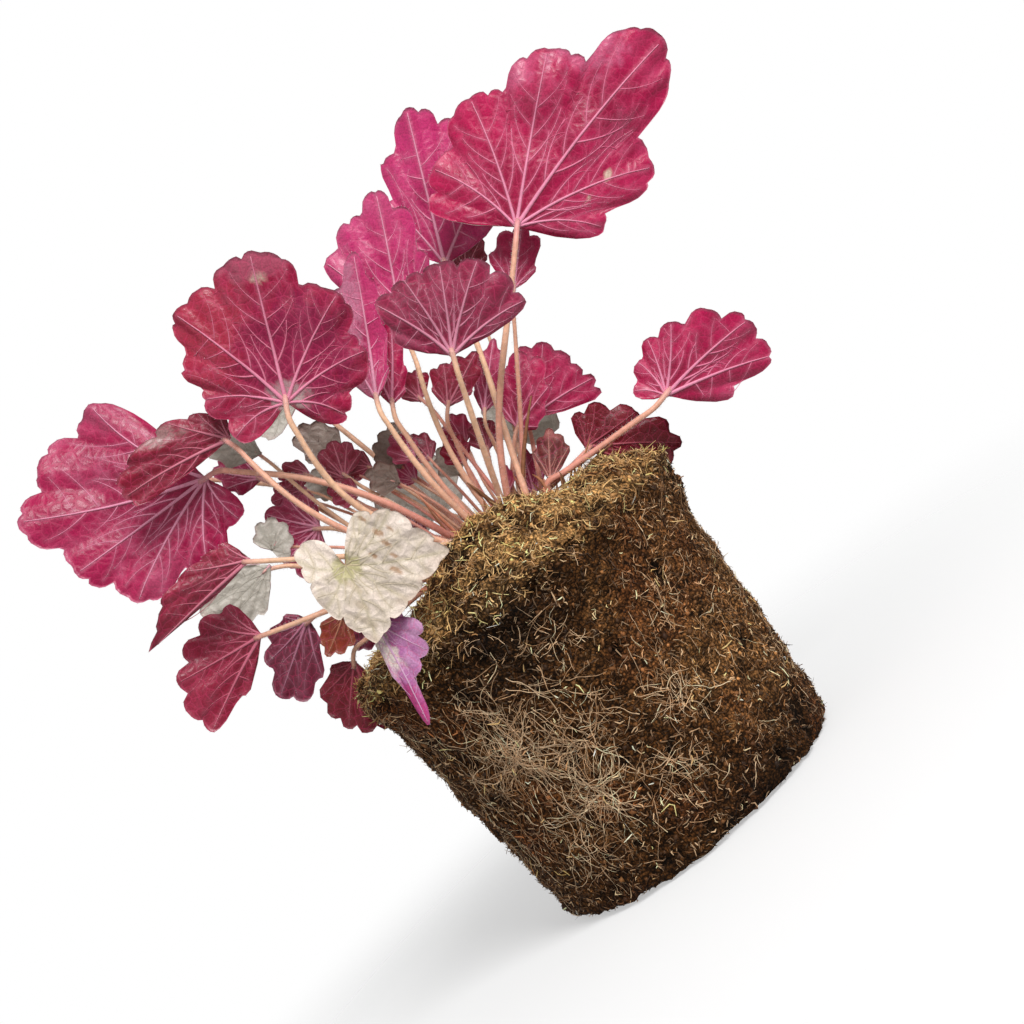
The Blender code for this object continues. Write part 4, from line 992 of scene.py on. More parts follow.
class FineBlade:
    """Fine grid of one blade: rings run round from edge to edge, columns from hilum to margin."""

    def __init__(self, blade, rng):
        self.blade = blade
        hidden = blade.leaf.hilum[1] > 30
        spacing = BLADE_STEP * (1.5 if hidden else 0.6 if blade.leaf.name in DRY_LEAVES else 1.0)
        self.lobes, self.q = edge_columns(blade, spacing)
        rings = int(np.clip(blade.size / spacing, 9, 52))
        self.parts = np.linspace(0.0, 1.0, rings + 1)
        lobe, part = self.lobes[None], self.parts[:, None]
        q = self.q[None] + 0 * part
        lobe = lobe + 0 * q.astype(int)
        part = part + 0 * q
        self.flat = flat_place(blade, lobe, q, part)
        self.veins = vein_paths(blade, rng)
        lines = [(path, rank) for path, _, rank in self.veins]
        self.near, self.rank = vein_distance(self.flat, lines)
        height = self.height(lobe, q, part, self.flat)
        quilt = QUILT * min(1.0, blade.size / 45) * np.minimum(part * 4, 1)
        width = QUILT_WIDTH * min(1.0, blade.size / 45 + 0.2)
        self.crown = 1 - np.exp(-((self.near / width) ** 2))
        height = height + quilt * self.crown * (0.7 + 0.3 * (1 - part))
        self.part, self.across = part, q
        self.middle = self.place(self.flat, height)
        self.normals = self.find_normals()

    def height(self, lobe, q, part, flat):
        return base_height(self.blade, lobe, q, part) + soft_form(self.blade, flat, lobe, q, part)

    def place(self, flat, height):
        blade = self.blade
        spot = np.array(blade.leaf.hilum, float) + flat[..., :1] * blade.across
        return spot + flat[..., 1:] * blade.along + height[..., None] * blade.up

    def find_normals(self):
        along = np.gradient(self.middle, axis=0)
        around = np.gradient(self.middle, axis=1)
        around[0] = around[1]
        normals = np.cross(around, along)
        normals /= np.maximum(np.linalg.norm(normals, axis=2), 1e-9)[..., None]
        if (normals.sum(axis=(0, 1)) @ self.blade.up) < 0:
            normals = -normals
        normals[0] = normals[1].mean(axis=0) / np.linalg.norm(normals[1].mean(axis=0))
        return normals

    def side(self, sign):
        """Points of the upper (1) or under (-1) face."""
        thick = BLADE_THICK + (EDGE_THICK - BLADE_THICK) * self.part**4
        return self.middle + sign * self.normals * thick[..., None] / 2

    def normal_at(self, lobe, q, part):
        place = (self.lobes - lobe[:, None]) * 10 + (self.q - q[:, None])
        column = np.abs(place).argmin(axis=1)
        ring = np.abs(self.parts - part[:, None]).argmin(axis=1)
        return self.normals[ring, column]


def grid_faces(rings, columns):
    """Quads of a fan grid whose first ring is one point, given as that ring's first vertex."""
    low = (np.arange(1, rings - 1)[:, None] * columns + np.arange(columns - 1)[None]).ravel()
    quads = np.stack([low, low + 1, low + columns + 1, low + columns], axis=1)
    first = columns + np.arange(columns - 1)
    fan = np.stack([np.zeros_like(first), first + 1, first], axis=1)
    return quads, fan


def blotches(flat, size, seed):
    places = np.concatenate([flat, np.full((*flat.shape[:-1], 1), 0.5 + seed)], axis=-1)
    return noise(places, size, seed)


def marked(fine, paint, sign, seed):
    """Paint with the leaf's marks on the side that faces the front; a few of them are painted highlights
    and painted shade.
    """
    if sign != -fine.blade.leaf.face:
        return paint
    ragged = 0.35 * blotches(fine.flat, 3.0, seed + 9) + 0.25 * blotches(fine.flat, 1.2, seed + 8)
    for across, along, wide, high, colour, strength in MARKS.get(fine.blade.leaf.name, ()):
        far = np.hypot((fine.flat[..., 0] - across) / wide, (fine.flat[..., 1] - along) / high)
        paint = mix(paint, colour, strength * smooth(1.25 - far + ragged, 0.0, 0.5))
    return paint


def paint_under(fine, look, seed):
    """Underside: deep at the heart, paler to the lobes' ends, with pale veins, pale patches of painted
    highlight and painted shade in the pleats.
    """
    flat, part = fine.flat, fine.part
    rough = 0.6 * blotches(flat, 11.0, seed) + 0.4 * blotches(flat, 4.0, seed + 1)
    tone = smooth(rough + 1.3 * part - 0.45, -0.6, 1.0)
    paint = mix(look.deep, look.middle, tone)
    # Pale patches toward the lobes' ends: painted highlight.
    gloss_cloud = 0.8 * blotches(flat, 9.0, seed + 2) + 0.6 * blotches(flat, 3.2, seed + 5)
    painted_gloss = smooth(gloss_cloud + 1.5 * part, 0.95, 2.2)
    paint = mix(paint, look.pale, 0.36 * painted_gloss)
    # Darker along the pleats that run in from the notches: painted shade in the creases.
    pleat = between_lobes(fine.blade, fine.lobes[None] + 0 * fine.across.astype(int), fine.across, part)
    paint = mix(paint, np.array(look.deep) * 0.6, 0.25 * pleat)
    valley = np.exp(-((fine.near / 2.2) ** 2)) * (fine.rank < 2)
    paint = mix(paint, look.deep, 0.40 * valley)
    close = np.exp(-((fine.near / 0.7) ** 2)) * (1 - 0.3 * fine.rank)
    paint = mix(paint, look.vein, 0.30 * close)
    hilum = np.exp(-((part * fine.blade.size / 3.5) ** 2))
    paint = mix(paint, look.vein, 0.6 * hilum)
    paint = mix(paint, look.vein, 0.35 * smooth(part, 0.985, 1.0))
    return marked(fine, paint, -1, seed)


def paint_upper(fine, look, seed):
    """Upper side: silver between darker veins, a little stained toward the margin."""
    flat, part = fine.flat, fine.part
    rough = 0.5 * blotches(flat, 9.0, seed + 3) + 0.5 * blotches(flat, 2.6, seed + 4)
    paint = mix(look.upper, np.array(look.upper) * 0.74, smooth(rough, -0.5, 0.9))
    close = np.exp(-((fine.near / 1.0) ** 2)) * (1 - 0.22 * fine.rank)
    paint = mix(paint, look.upper_vein, 0.55 * close)
    stain = smooth(part + 0.25 * rough, 0.86, 1.1)
    paint = mix(paint, mix(look.upper, look.deep, 0.45), 0.5 * stain)
    return marked(fine, paint, 1, seed)


def add_blade(mesh, fine, look, seed):
    rings, columns = fine.part.shape
    quads, fan = grid_faces(rings, columns)
    faces = ((-1, 0, paint_under(fine, look, seed)), (1, 1, paint_upper(fine, look, seed)))
    for sign, slot, paint in faces:
        order = slice(None) if sign * fine.blade.leaf.face > 0 else slice(None, None, -1)
        mesh.add(fine.side(sign), quads[:, order], slot, paint, fine.flat)
        mesh.join(fan[:, order], slot, rings * columns)
    total = rings * columns
    last = (rings - 1) * columns
    border = np.concatenate([[0], np.arange(1, rings) * columns, last + np.arange(1, columns),
                             (np.arange(rings - 2, 0, -1) * columns) + columns - 1])
    after = np.roll(border, -1)
    rim = np.stack([border, after, after + total, border + total], axis=1)
    mesh.join(rim if fine.blade.leaf.face > 0 else rim[:, ::-1], 0, 2 * total)


def add_veins(mesh, fine, look, rng):
    """Raised veins under the blade, fine lines on its upper side, and hairs along the main ones."""
    blade = fine.blade
    roots, ways = [], []
    for flat, width, rank in fine.veins:
        lobe, q, part = locate(blade, flat)
        height = fine.height(lobe, q, part, flat)
        height = height + 0.10 * (rank > 0)
        path = fine.place(flat, height)
        normal = fine.normal_at(lobe, q, part)
        width = np.maximum(width, THINNEST_VEIN)
        thick = BLADE_THICK + (EDGE_THICK - BLADE_THICK) * part**4
        under = path - normal * (thick / 2 + 0.10 * width + 0.04)[:, None]
        sides = 6 - 2 * min(rank, 1) - (rank > 1)
        fade = np.clip(0.05 + 0.28 * rank + 0.25 * part, 0, 0.93)
        pale = mix(look.vein, mix(look.middle, look.pale, 0.5), fade)
        add_tubes(mesh, under[None], width[None], sides, 2, pale[None])
        if rank < 2:
            upper = path + normal * (thick / 2 - 0.55 * width)[:, None]
            dark = mix(look.upper_vein, look.upper, 0.15 + 0.2 * rank + 0.2 * part)
            add_tubes(mesh, upper[None], 0.8 * width[None], 4, 3, dark[None])
        if rank < 2 and blade.size > 14:
            density = BRANCH_HAIRS if rank else MAIN_VEIN_HAIRS
            count = int(np.linalg.norm(np.diff(path, axis=0), axis=1).sum() * density)
            at = rng.uniform(0, len(path) - 1.001, count)
            low = at.astype(int)
            share = (at - low)[:, None]
            spot = under[low] * (1 - share) + under[low + 1] * share
            out = -normal[low] + 0.9 * rng.normal(size=(count, 3))
            roots.append(spot)
            ways.append(out)
    if roots:
        roots, ways = np.vstack(roots), np.vstack(ways)
        lengths = rng.uniform(0.5, 1.1, len(roots))
        add_hairs(mesh, roots, ways, lengths, 0.035, 5, HAIR)


def add_margin_hairs(mesh, fine, rng):
    edge = fine.middle[-1]
    count = int(np.linalg.norm(np.diff(edge, axis=0), axis=1).sum() * MARGIN_HAIRS)
    low = rng.integers(0, len(edge) - 1, count)
    out = edge[low] - fine.middle[-3][low]
    out = out / np.maximum(np.linalg.norm(out, axis=1), 1e-6)[:, None] + 0.45 * rng.normal(size=(count, 3))
    add_hairs(mesh, edge[low], out, rng.uniform(0.3, 0.8, count), 0.03, 5, HAIR)


def add_stalk(mesh, blade, route, spot, rng):
    """Round stalk from its seat to the hilum, redder at the foot, with short pale hairs."""
    leaf = blade.leaf
    foot = route[0] - seat_direction(spot) * SEAT_DEPTH
    inside = route[-1] + blade.up * 0.9 * leaf.stalk
    end = inside + blade.along * 1.6
    rough = np.vstack([foot, route, inside, end])
    length = np.linalg.norm(np.diff(rough, axis=0), axis=1).sum()
    path = rope(rough, max(16, int(length / 1.5)))
    run = np.linspace(0, 1, len(path))
    height = run * length
    radii = leaf.stalk * (0.94 - 0.3 * run) * (1 + 0.25 * np.exp(-(((height - 6) / 5) ** 2)))
    radii = radii * (1 - 0.55 * smooth(run, 1 - 4 / length, 1.0))
    radii = radii * (1 + 0.03 * np.sin(height / 3.1 + blade.size))
    rosy = 0.5 + 0.5 * math.sin(7.3 * blade.size + 2.0)
    skin = mix(PEACH, ROSY, np.clip(rosy * 0.62 - 0.08 + 0.18 * np.sin(height / 17), 0, 1))
    paint = mix(STALK_FOOT, skin, smooth(height, 4.0, 26.0))
    paint = mix(paint, LOOKS[leaf.look].vein, 0.6 * smooth(run, 0.86, 1.0))
    points, faces, caps = tubes(path[None], radii[None], STALK_SIDES)
    colours = np.repeat(paint, STALK_SIDES, axis=0)
    streak = 0.86 + 0.14 * noise(points * (1, 1, 0.12), 0.9, 3)
    mesh.add(points, faces, 4, colours * streak[:, None])
    mesh.join(caps, 4, len(points))
    count = int(length * STALK_HAIRS)
    at = rng.uniform(5, len(path) - 2.001, count)
    low = at.astype(int)
    share = (at - low)[:, None]
    tangent = path[low + 1] - path[low]
    tangent /= np.linalg.norm(tangent, axis=1)[:, None]
    out = rng.normal(size=(count, 3))
    out -= tangent * (out * tangent).sum(axis=1)[:, None]
    out /= np.linalg.norm(out, axis=1)[:, None]
    roots = path[low] * (1 - share) + path[low + 1] * share + out * radii[low][:, None] * 0.95
    add_hairs(mesh, roots, out + 0.35 * rng.normal(size=(count, 3)), rng.uniform(0.45, 1.25, count),
              0.045, 5, HAIR)


def make_leaf(blade, route, spot, number, materials):
    leaf = blade.leaf
    rng = np.random.default_rng(LEAF_SEED + number)
    mesh = Mesh()
    fine = FineBlade(blade, rng)
    look = LOOKS[leaf.look]
    add_blade(mesh, fine, look, number * 7)
    add_veins(mesh, fine, look, rng)
    add_margin_hairs(mesh, fine, rng)
    add_stalk(mesh, blade, route, spot, rng)
    piece = mesh.make("fine_" + leaf.name, materials)
    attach(piece, "root")
    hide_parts(leaf.name)


def young_blade(number):
    """One young leaf, placed by its number in the row that rises to the left."""
    share = (number + 0.5) / YOUNG_COUNT
    x = YOUNG_RIGHT + (YOUNG_LEFT - YOUNG_RIGHT) * share
    y = YOUNG_DEPTH + YOUNG_SWAY * math.sin(2.4 * number)
    z = YOUNG_LOW + YOUNG_RISE * share**1.3 + YOUNG_LIFT * math.sin(1.7 * number)
    aim = YOUNG_AIM + YOUNG_TURN * share + 8.0 * math.sin(number)
    size = YOUNG_LENGTH + 1.8 * math.sin(3.1 * number)
    lobes = tuple((aim + off, size * part) for off, part in YOUNG_SHAPE)
    look = YOUNG_LOOKS[number % len(YOUNG_LOOKS)]
    face = -1 if number % 4 == 3 else 1
    lean = YOUNG_LEAN * math.sin(number)
    return Blade(leaf("young", look, (x, y, z), lobes, stalk=YOUNG_STALK, face=face, lean=lean))


def make_young(materials):
    """Small young leaves on thin stalks that fill the middle of the rosette."""
    mesh = Mesh()
    for number in range(YOUNG_COUNT):
        blade = young_blade(number)
        look = LOOKS[blade.leaf.look]
        rng = np.random.default_rng(YOUNG_SEED + number)
        pull = np.array(blade.leaf.hilum[:2]) - np.array(CROWN_AT)
        far = np.linalg.norm(pull)
        spot = np.array(CROWN_AT) + pull / max(far, 1.0) * min(0.4 * far, CROWN_RADIUS - 8.0)
        fine = FineBlade(blade, rng)
        add_blade(mesh, fine, look, number * 7)
        add_veins(mesh, fine, look, rng)
        add_stalk(mesh, blade, first_route(blade, spot), spot, rng)
    piece = mesh.make("young_leaves", materials)
    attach(piece, "root")


# Colours and places of the peat, the roots and the moss.
PEAT_DARK = (0.014, 0.006, 0.002)
PEAT_BROWN = (0.088, 0.034, 0.009)
PEAT_LIGHT = (0.27, 0.125, 0.042)
PEAT_GOLD = (0.80, 0.44, 0.16)
PEAT_RED = (0.155, 0.050, 0.015)
ROOT_PALE = (0.86, 0.63, 0.40)
STRAW = (0.66, 0.44, 0.25)
ROOT_TAN = (0.40, 0.21, 0.095)
MOSS_GOLD = (0.85, 0.56, 0.24)
MOSS_YELLOW = (0.72, 0.55, 0.17)
BARK = (0.13, 0.065, 0.038)
STUBS = 110
# Places of painted shade on the front: a patch high on the left, and the pits low on the right, which are
# also dug deeper.
SHADE_AT = (-13.0, 99.0, 22.0, 20.0)
PIT_AT = (24.0, 8.0, 26.0, 14.0)
# Place of a painted pool of light on the right of the ball's front.
PAINTED_LIGHT_AT = (44.0, 60.0, 30.0, 40.0)


def spot_share(points, spot):
    """How strongly a point on the front lies in an oval given by its middle and half sizes."""
    x, z, wide, high = spot
    inside = np.exp(-(((points[..., 0] - x) / wide) ** 2) - ((points[..., 2] - z) / high) ** 2)
    return inside * (points[..., 1] < 0)


def soil_paint(points, depth):
    """Colour of the peat: golden at the rim, painted shade in the hollows, toward the bottom and in two
    patches on the front, and painted light on the right of the front.
    """
    rough = 0.5 * noise(points, 9.0, 11) + 0.5 * noise(points, 3.0, 12)
    # Peat browns at random, lighter on the right of the front as painted light.
    paint = mix(PEAT_BROWN, PEAT_LIGHT, smooth(rough + 1.0 * spot_share(points, PAINTED_LIGHT_AT), 0.0, 1.5))
    paint = mix(paint, PEAT_RED, 0.6 * smooth(noise(points, 17.0, 13), 0.0, 0.7))
    rim = smooth(points[..., 2], RIM_HEIGHT - 10, RIM_HEIGHT + 6)
    paint = mix(paint, PEAT_GOLD, 0.80 * rim * smooth(rough, -0.45, 0.45))
    # Dark patches high on the left and low on the right of the front: painted shade.
    shade_patches = np.maximum(spot_share(points, SHADE_AT), 0.8 * spot_share(points, PIT_AT))
    # Darker toward the bottom of the ball: painted shade.
    low = (1 - smooth(points[..., 2], 2.0, 24.0)) * (0.55 + 0.45 * noise(points, 12.0, 14))
    paint = mix(paint, PEAT_DARK, 0.85 * np.maximum(shade_patches, 0.7 * low))
    # Darker where the peat sinks below its even surface: painted shade in the hollows.
    return mix(paint, PEAT_DARK, smooth(-depth, 0.0, 1.3))


def relief(points):
    """How far the peat stands out of, or sinks below, its even surface."""
    fine = 1.0 * noise(points, 6.5, 1) + 0.8 * noise(points, 2.9, 2) + 0.45 * noise(points, 1.5, 3)
    high = smooth(points[..., 2], RIM_HEIGHT - 6, RIM_HEIGHT + 4)
    pits = 2.6 * smooth(noise(points, 7.0, 4), 0.35, 0.75) * (0.25 + 1.2 * spot_share(points, PIT_AT))
    return fine * (0.74 + 0.50 * high) - pits


def ball_grid():
    """Rings of the soil's fine surface, from the middle of its base up the side and over the top."""
    columns = int(2 * math.pi * RIM_RADIUS / SOIL_STEP)
    turns = np.linspace(0, 2 * math.pi, columns, endpoint=False)
    rings = []
    for share in np.linspace(0.02, 1.0, BASE_RINGS):
        radius = share * (side_radius(turns, 0.0) - BASE_INSET)
        rings.append((radius, np.full_like(turns, 0.9)))
    bite = np.exp(-((turns - NOTCH_AT) / NOTCH_SPAN) ** 2)
    lift = NOTCH_DEPTH * bite + 0.9 * np.sin(9 * turns) + 0.9
    side = np.linspace(2.0, RIM_HEIGHT - 2.0, int(RIM_HEIGHT / SOIL_STEP))
    for z in side:
        height = z + lift * np.clip(1 - (z - 2.0) / 9.0, 0, 1)
        rings.append((side_radius(turns, height), height))
    for share in np.linspace(0.985, 0.22, TOP_RINGS):
        radius = share * side_radius(turns, RIM_HEIGHT)
        x, y = radius * np.cos(turns), radius * np.sin(turns)
        beside = np.hypot(x - CROWN_AT[0], y - CROWN_AT[1]) - CROWN_RADIUS
        height = np.minimum(top_height(x, y), CROWN_RIM + 0.6 + np.maximum(beside, -6.0))
        rings.append((radius, height - 4.0 * smooth(share, 0.93, 1.0)))
    radius = np.array([r for r, _ in rings])
    height = np.array([z for _, z in rings])
    return np.stack([radius * np.cos(turns), radius * np.sin(turns), height], axis=-1)


def wrapped_normals(grid):
    along = np.gradient(grid, axis=0)
    around = np.roll(grid, -1, axis=1) - np.roll(grid, 1, axis=1)
    normals = np.cross(around, along)
    return normals / np.maximum(np.linalg.norm(normals, axis=2), 1e-9)[..., None]


def soil_surface():
    grid = ball_grid()
    normals = wrapped_normals(grid)
    depth = relief(grid)
    grid = grid + normals * depth[..., None]
    grid[..., 2] = np.maximum(grid[..., 2], 0.0)
    return grid, wrapped_normals(grid), depth


def scatter(grid, normals, count, weight, rng):
    """Random places on the grid, with their normals, drawn by area times weight."""
    right, up = np.roll(grid, -1, axis=1), grid[1:]
    area = np.linalg.norm(np.cross(right[:-1] - grid[:-1], up - grid[:-1]), axis=2)
    chance = (area * weight[:-1]).ravel()
    picked = rng.choice(len(chance), count, p=chance / chance.sum())
    ring, column = np.divmod(picked, grid.shape[1])
    beside = (column + 1) % grid.shape[1]
    a, b = rng.uniform(0, 1, (2, count, 1))
    places = (1 - b) * ((1 - a) * grid[ring, column] + a * grid[ring, beside])
    places = places + b * ((1 - a) * grid[ring + 1, column] + a * grid[ring + 1, beside])
    return places, normals[ring, column]


def tangent_frame(normals, rng):
    first = rng.normal(size=normals.shape)
    first -= normals * (first * normals).sum(axis=1)[:, None]
    first /= np.linalg.norm(first, axis=1)[:, None]
    return first, np.cross(normals, first)


def add_strips(mesh, paths, radii, outward, slot, paint):
    """Adds many roof-shaped strands with one colour for each step of each strand."""
    tangents = np.gradient(paths, axis=1)
    out = np.broadcast_to(outward, paths.shape)
    side = np.cross(tangents, out)
    side /= np.maximum(np.linalg.norm(side, axis=2), 1e-9)[..., None]
    ridge = np.cross(side, tangents)
    ridge /= np.maximum(np.linalg.norm(ridge, axis=2), 1e-9)[..., None]
    wide = radii[..., None]
    points = np.stack([paths - side * wide, paths + ridge * wide, paths + side * wide], axis=2)
    many, steps = radii.shape
    start = (np.arange(many) * steps * 3)[:, None, None]
    low = start + (np.arange(steps - 1) * 3)[None, :, None] + np.arange(2)[None, None]
    quads = np.stack([low, low + 1, low + 4, low + 3], axis=-1).reshape(-1, 4)
    mesh.add(points, quads, slot, np.repeat(paint.reshape(-1, 3), 3, axis=0))


def add_fibres(mesh, places, normals, lengths, radius, lift, colours, rng, steps=3):
    """Short bent fibres that lie on the soil, some with a raised end."""
    along, side = tangent_frame(normals, rng)
    count = len(places)
    bend = rng.normal(0, 0.28, count)
    tilt = rng.uniform(-lift, lift, count)
    share = np.linspace(-0.5, 0.5, steps)
    paths = []
    for s in share:
        step = along * s + side * (bend * (s * s * 4 - 0.5))[:, None] + normals * (tilt * s)[:, None]
        paths.append(places + normals * rng.uniform(0.0, 0.35, (count, 1)) + step * lengths[:, None])
    paths = np.stack(paths, axis=1)
    thin = 1 - 0.5 * (2 * np.abs(share)) ** 2
    radii = radius[:, None] * thin[None]
    paint = np.repeat(colours[:, None], steps, axis=1)
    add_strips(mesh, paths, radii, normals[:, None], 0, paint)


def add_crumbs(mesh, places, normals, sizes, colours, rng):
    """Angular crumbs of peat and bark, sunk halfway into the surface."""
    corners = np.array([(1, 0, 0), (-1, 0, 0), (0, 1, 0), (0, -1, 0), (0, 0, 1), (0, 0, -1)], float)
    sides = [(0, 2, 4), (2, 1, 4), (1, 3, 4), (3, 0, 4), (2, 0, 5), (1, 2, 5), (3, 1, 5), (0, 3, 5)]
    along, side = tangent_frame(normals, rng)
    stretch = sizes[:, None] * rng.uniform(0.5, 1.3, (len(places), 3)) * (1.0, 0.8, 0.55)
    points = []
    for corner in corners:
        offset = along * (corner[0] * stretch[:, :1]) + side * (corner[1] * stretch[:, 1:2])
        offset = offset + normals * (corner[2] * stretch[:, 2:])
        points.append(places + offset * rng.uniform(0.75, 1.25, (len(places), 1)))
    points = np.stack(points, axis=1).reshape(-1, 3)
    faces = (6 * np.arange(len(places))[:, None, None] + np.array(sides)).reshape(-1, 3)
    mesh.add(points, faces, 0, np.repeat(colours, 6, axis=0))


def add_rings(mesh, grid, paint, downward=False):
    """Adds rings of points that run up, or down, a round body, with a cap at each end."""
    rings, columns = grid.shape[:2]
    low = np.arange(rings - 1)[:, None] * columns
    column = np.arange(columns)[None]
    beside = (column + 1) % columns
    quads = np.stack([low + column, low + beside, low + columns + beside, low + columns + column], axis=-1)
    quads = quads.reshape(-1, 4)
    first = np.arange(columns)[None, ::-1]
    last = first[:, ::-1] + (rings - 1) * columns
    if downward:
        quads = quads[:, (0, 3, 2, 1)]
        first, last = first[:, ::-1], last[:, ::-1]
    mesh.add(grid, quads, 0, paint)
    for cap in (first, last):
        mesh.join(cap, 0, rings * columns)


def make_ball(soil, materials):
    """The peat's own surface, which stands for the solid ball."""
    grid, _, depth = soil
    mesh = Mesh()
    add_rings(mesh, grid, soil_paint(grid, depth))
    piece = mesh.make("peat_surface", materials)
    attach(piece, "root")
    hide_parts("root_ball")


def make_peat_fibres(soil, materials):
    rng = np.random.default_rng(1)
    grid, normals, _ = soil
    mesh = Mesh()
    weight = np.where(grid[..., 2] < 1.5, 0.25, 1.0)
    places, outward = scatter(grid, normals, FIBRES, weight, rng)
    # Fibres and, below, the crumbs take the peat's paint where they lie, its painted shade and painted
    # light included.
    own = soil_paint(places, np.zeros(len(places)))
    pale = rng.uniform(0, 1, len(places)) ** 3
    colours = mix(own, STRAW, 0.85 * pale) * np.exp(rng.normal(-0.12, 0.65, (len(places), 1)))
    lengths = rng.uniform(0.9, 3.4, len(places)) * (1 + 0.9 * (rng.uniform(0, 1, len(places)) > 0.9))
    radius = rng.uniform(0.09, 0.30, len(places))
    add_fibres(mesh, places, outward, lengths, radius, 0.8, np.clip(colours, 0, 0.8), rng)
    places, outward = scatter(grid, normals, CRUMBS, weight, rng)
    own = soil_paint(places, np.zeros(len(places)))
    colours = own * np.exp(rng.normal(0.0, 0.6, (len(places), 1)))
    add_crumbs(mesh, places, outward, rng.uniform(0.35, 1.5, len(places)), np.clip(colours, 0, 0.8), rng)
    piece = mesh.make("peat_fibres", materials)
    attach(piece, "root")


def root_walk(turn, z, heading, length, rng):
    """A root wandering over the side of the ball. Heading 0 runs down and a quarter turn runs round."""
    count = max(6, int(length / ROOT_STEP))
    wander = np.cumsum(rng.normal(0, 0.30, count)) * 0.7
    angle = heading + wander
    z = z - np.cumsum(np.cos(angle)) * ROOT_STEP
    turn = turn + np.cumsum(np.sin(angle)) * ROOT_STEP / RIM_RADIUS
    keep = (z > 1.5) & (z < RIM_HEIGHT - 3)
    keep = np.cumprod(keep).astype(bool)
    return turn[keep], z[keep]


def root_path(turn, z, lift):
    radius = side_radius(turn, z)
    points = np.stack([radius * np.cos(turn), radius * np.sin(turn), z], axis=-1)
    out = np.stack([np.cos(turn), np.sin(turn), np.zeros_like(turn)], axis=-1)
    return points + out * (0.62 * noise(points, 6.5, 1) + lift)[:, None], out


ROOT_STEP = 1.3
NEST_RADIUS = 64.0
STRAY_ROOTS = 90
STRAY_HEADING = math.radians(-125.0)
SHEATHS = 5
SHEATH_RED = (0.36, 0.16, 0.10)

# Middles of the nests of pale roots on the front, how many roots leave each, and their length.
NESTS = ((-32.0, 65.0, 95, 22.0), (21.0, 49.0, 40, 13.0), (-22.0, 38.0, 60, 18.0), (-12.0, 56.0, 40, 16.0),
         (4.0, 30.0, 30, 12.0), (36.0, 74.0, 26, 9.0), (2.0, 88.0, 22, 9.0))


def make_roots(materials):
    """Pale roots on the side of the ball, thickest round their nests on the front."""
    rng = np.random.default_rng(2)
    mesh = Mesh()
    starts = []
    for x, z, count, length in NESTS:
        turn = -math.acos(x / NEST_RADIUS)
        for _ in range(count):
            spread = rng.normal(0, 3.0, 2)
            starts.append((turn + spread[0] / NEST_RADIUS, z + spread[1], rng.uniform(-math.pi, math.pi),
                           length * rng.uniform(0.35, 1.2)))
    for _ in range(STRAY_ROOTS):
        starts.append((STRAY_HEADING + rng.normal(0, 0.25), rng.uniform(25, 98),
                       rng.normal(0.1, 0.4), rng.uniform(12, 38)))
    for _ in range(ROOTS - len(starts)):
        starts.append((rng.uniform(-math.pi, math.pi), rng.uniform(10, 109), rng.uniform(-math.pi, math.pi),
                       rng.uniform(2.5, 7.0) if rng.uniform() < 0.7 else rng.uniform(8, 26)))
    for turn, z, heading, length in starts:
        turns, heights = root_walk(turn, z, heading, length, rng)
        if len(turns) < 3:
            continue
        radius = rng.uniform(0.05, 0.13) * (1.3 if length > 26 else 1.0)
        colour = mix(ROOT_TAN, ROOT_PALE, rng.uniform(0.0, 1.0) ** 1.3) * math.exp(rng.normal(0, 0.2))
        add_root(mesh, turns, heights, radius, colour, rng)
        for _ in range(rng.integers(0, 4) if len(turns) > 8 else 0):
            at = rng.integers(2, len(turns) - 3)
            side = heading + rng.choice([-1, 1]) * rng.uniform(0.5, 1.2)
            branch = root_walk(turns[at], heights[at], side, length * rng.uniform(0.2, 0.5), rng)
            if len(branch[0]) > 2:
                add_root(mesh, branch[0], branch[1], 0.65 * radius, colour, rng)
    piece = mesh.make("pale_roots", materials)
    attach(piece, "root")


def add_root(mesh, turns, heights, radius, colour, rng):
    lift = 0.55 + 0.35 * np.sin(np.arange(len(turns)) * rng.uniform(0.5, 0.9) + turns[0] * 50)
    lift[-1] -= 0.5
    path, out = root_path(turns, heights, lift)
    radii = radius * np.linspace(1.15, 0.5, len(path)) * rng.uniform(0.8, 1.2, len(path))
    shade = np.clip(np.asarray(colour) * np.exp(rng.normal(0, 0.15, (len(path), 1))), 0, 0.85)
    add_strips(mesh, path[None], radii[None], out[None], 0, shade)


def make_moss(soil, materials):
    """Golden moss and straw at the rim and on the top of the ball."""
    rng = np.random.default_rng(3)
    grid, normals, _ = soil
    mesh = Mesh()
    weight = smooth(grid[..., 2], RIM_HEIGHT - 12, RIM_HEIGHT + 4) + 0.02
    places, outward = scatter(grid, normals, MOSS, weight, rng)
    gold = rng.uniform(0, 1, len(places))
    yellow = smooth(noise(places, 10.0, 21), 0.3, 0.7) * gold
    colours = mix(mix(PEAT_LIGHT, MOSS_GOLD, gold), MOSS_YELLOW, yellow)
    colours = np.clip(colours * np.exp(rng.normal(0.0, 0.45, (len(places), 1))), 0, 0.85)
    lengths = rng.uniform(1.5, 6.0, len(places))
    radius = rng.uniform(0.10, 0.26, len(places))
    add_fibres(mesh, places, outward, lengths, radius, 1.3, colours, rng, steps=4)
    piece = mesh.make("rim_moss", materials)
    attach(piece, "root")


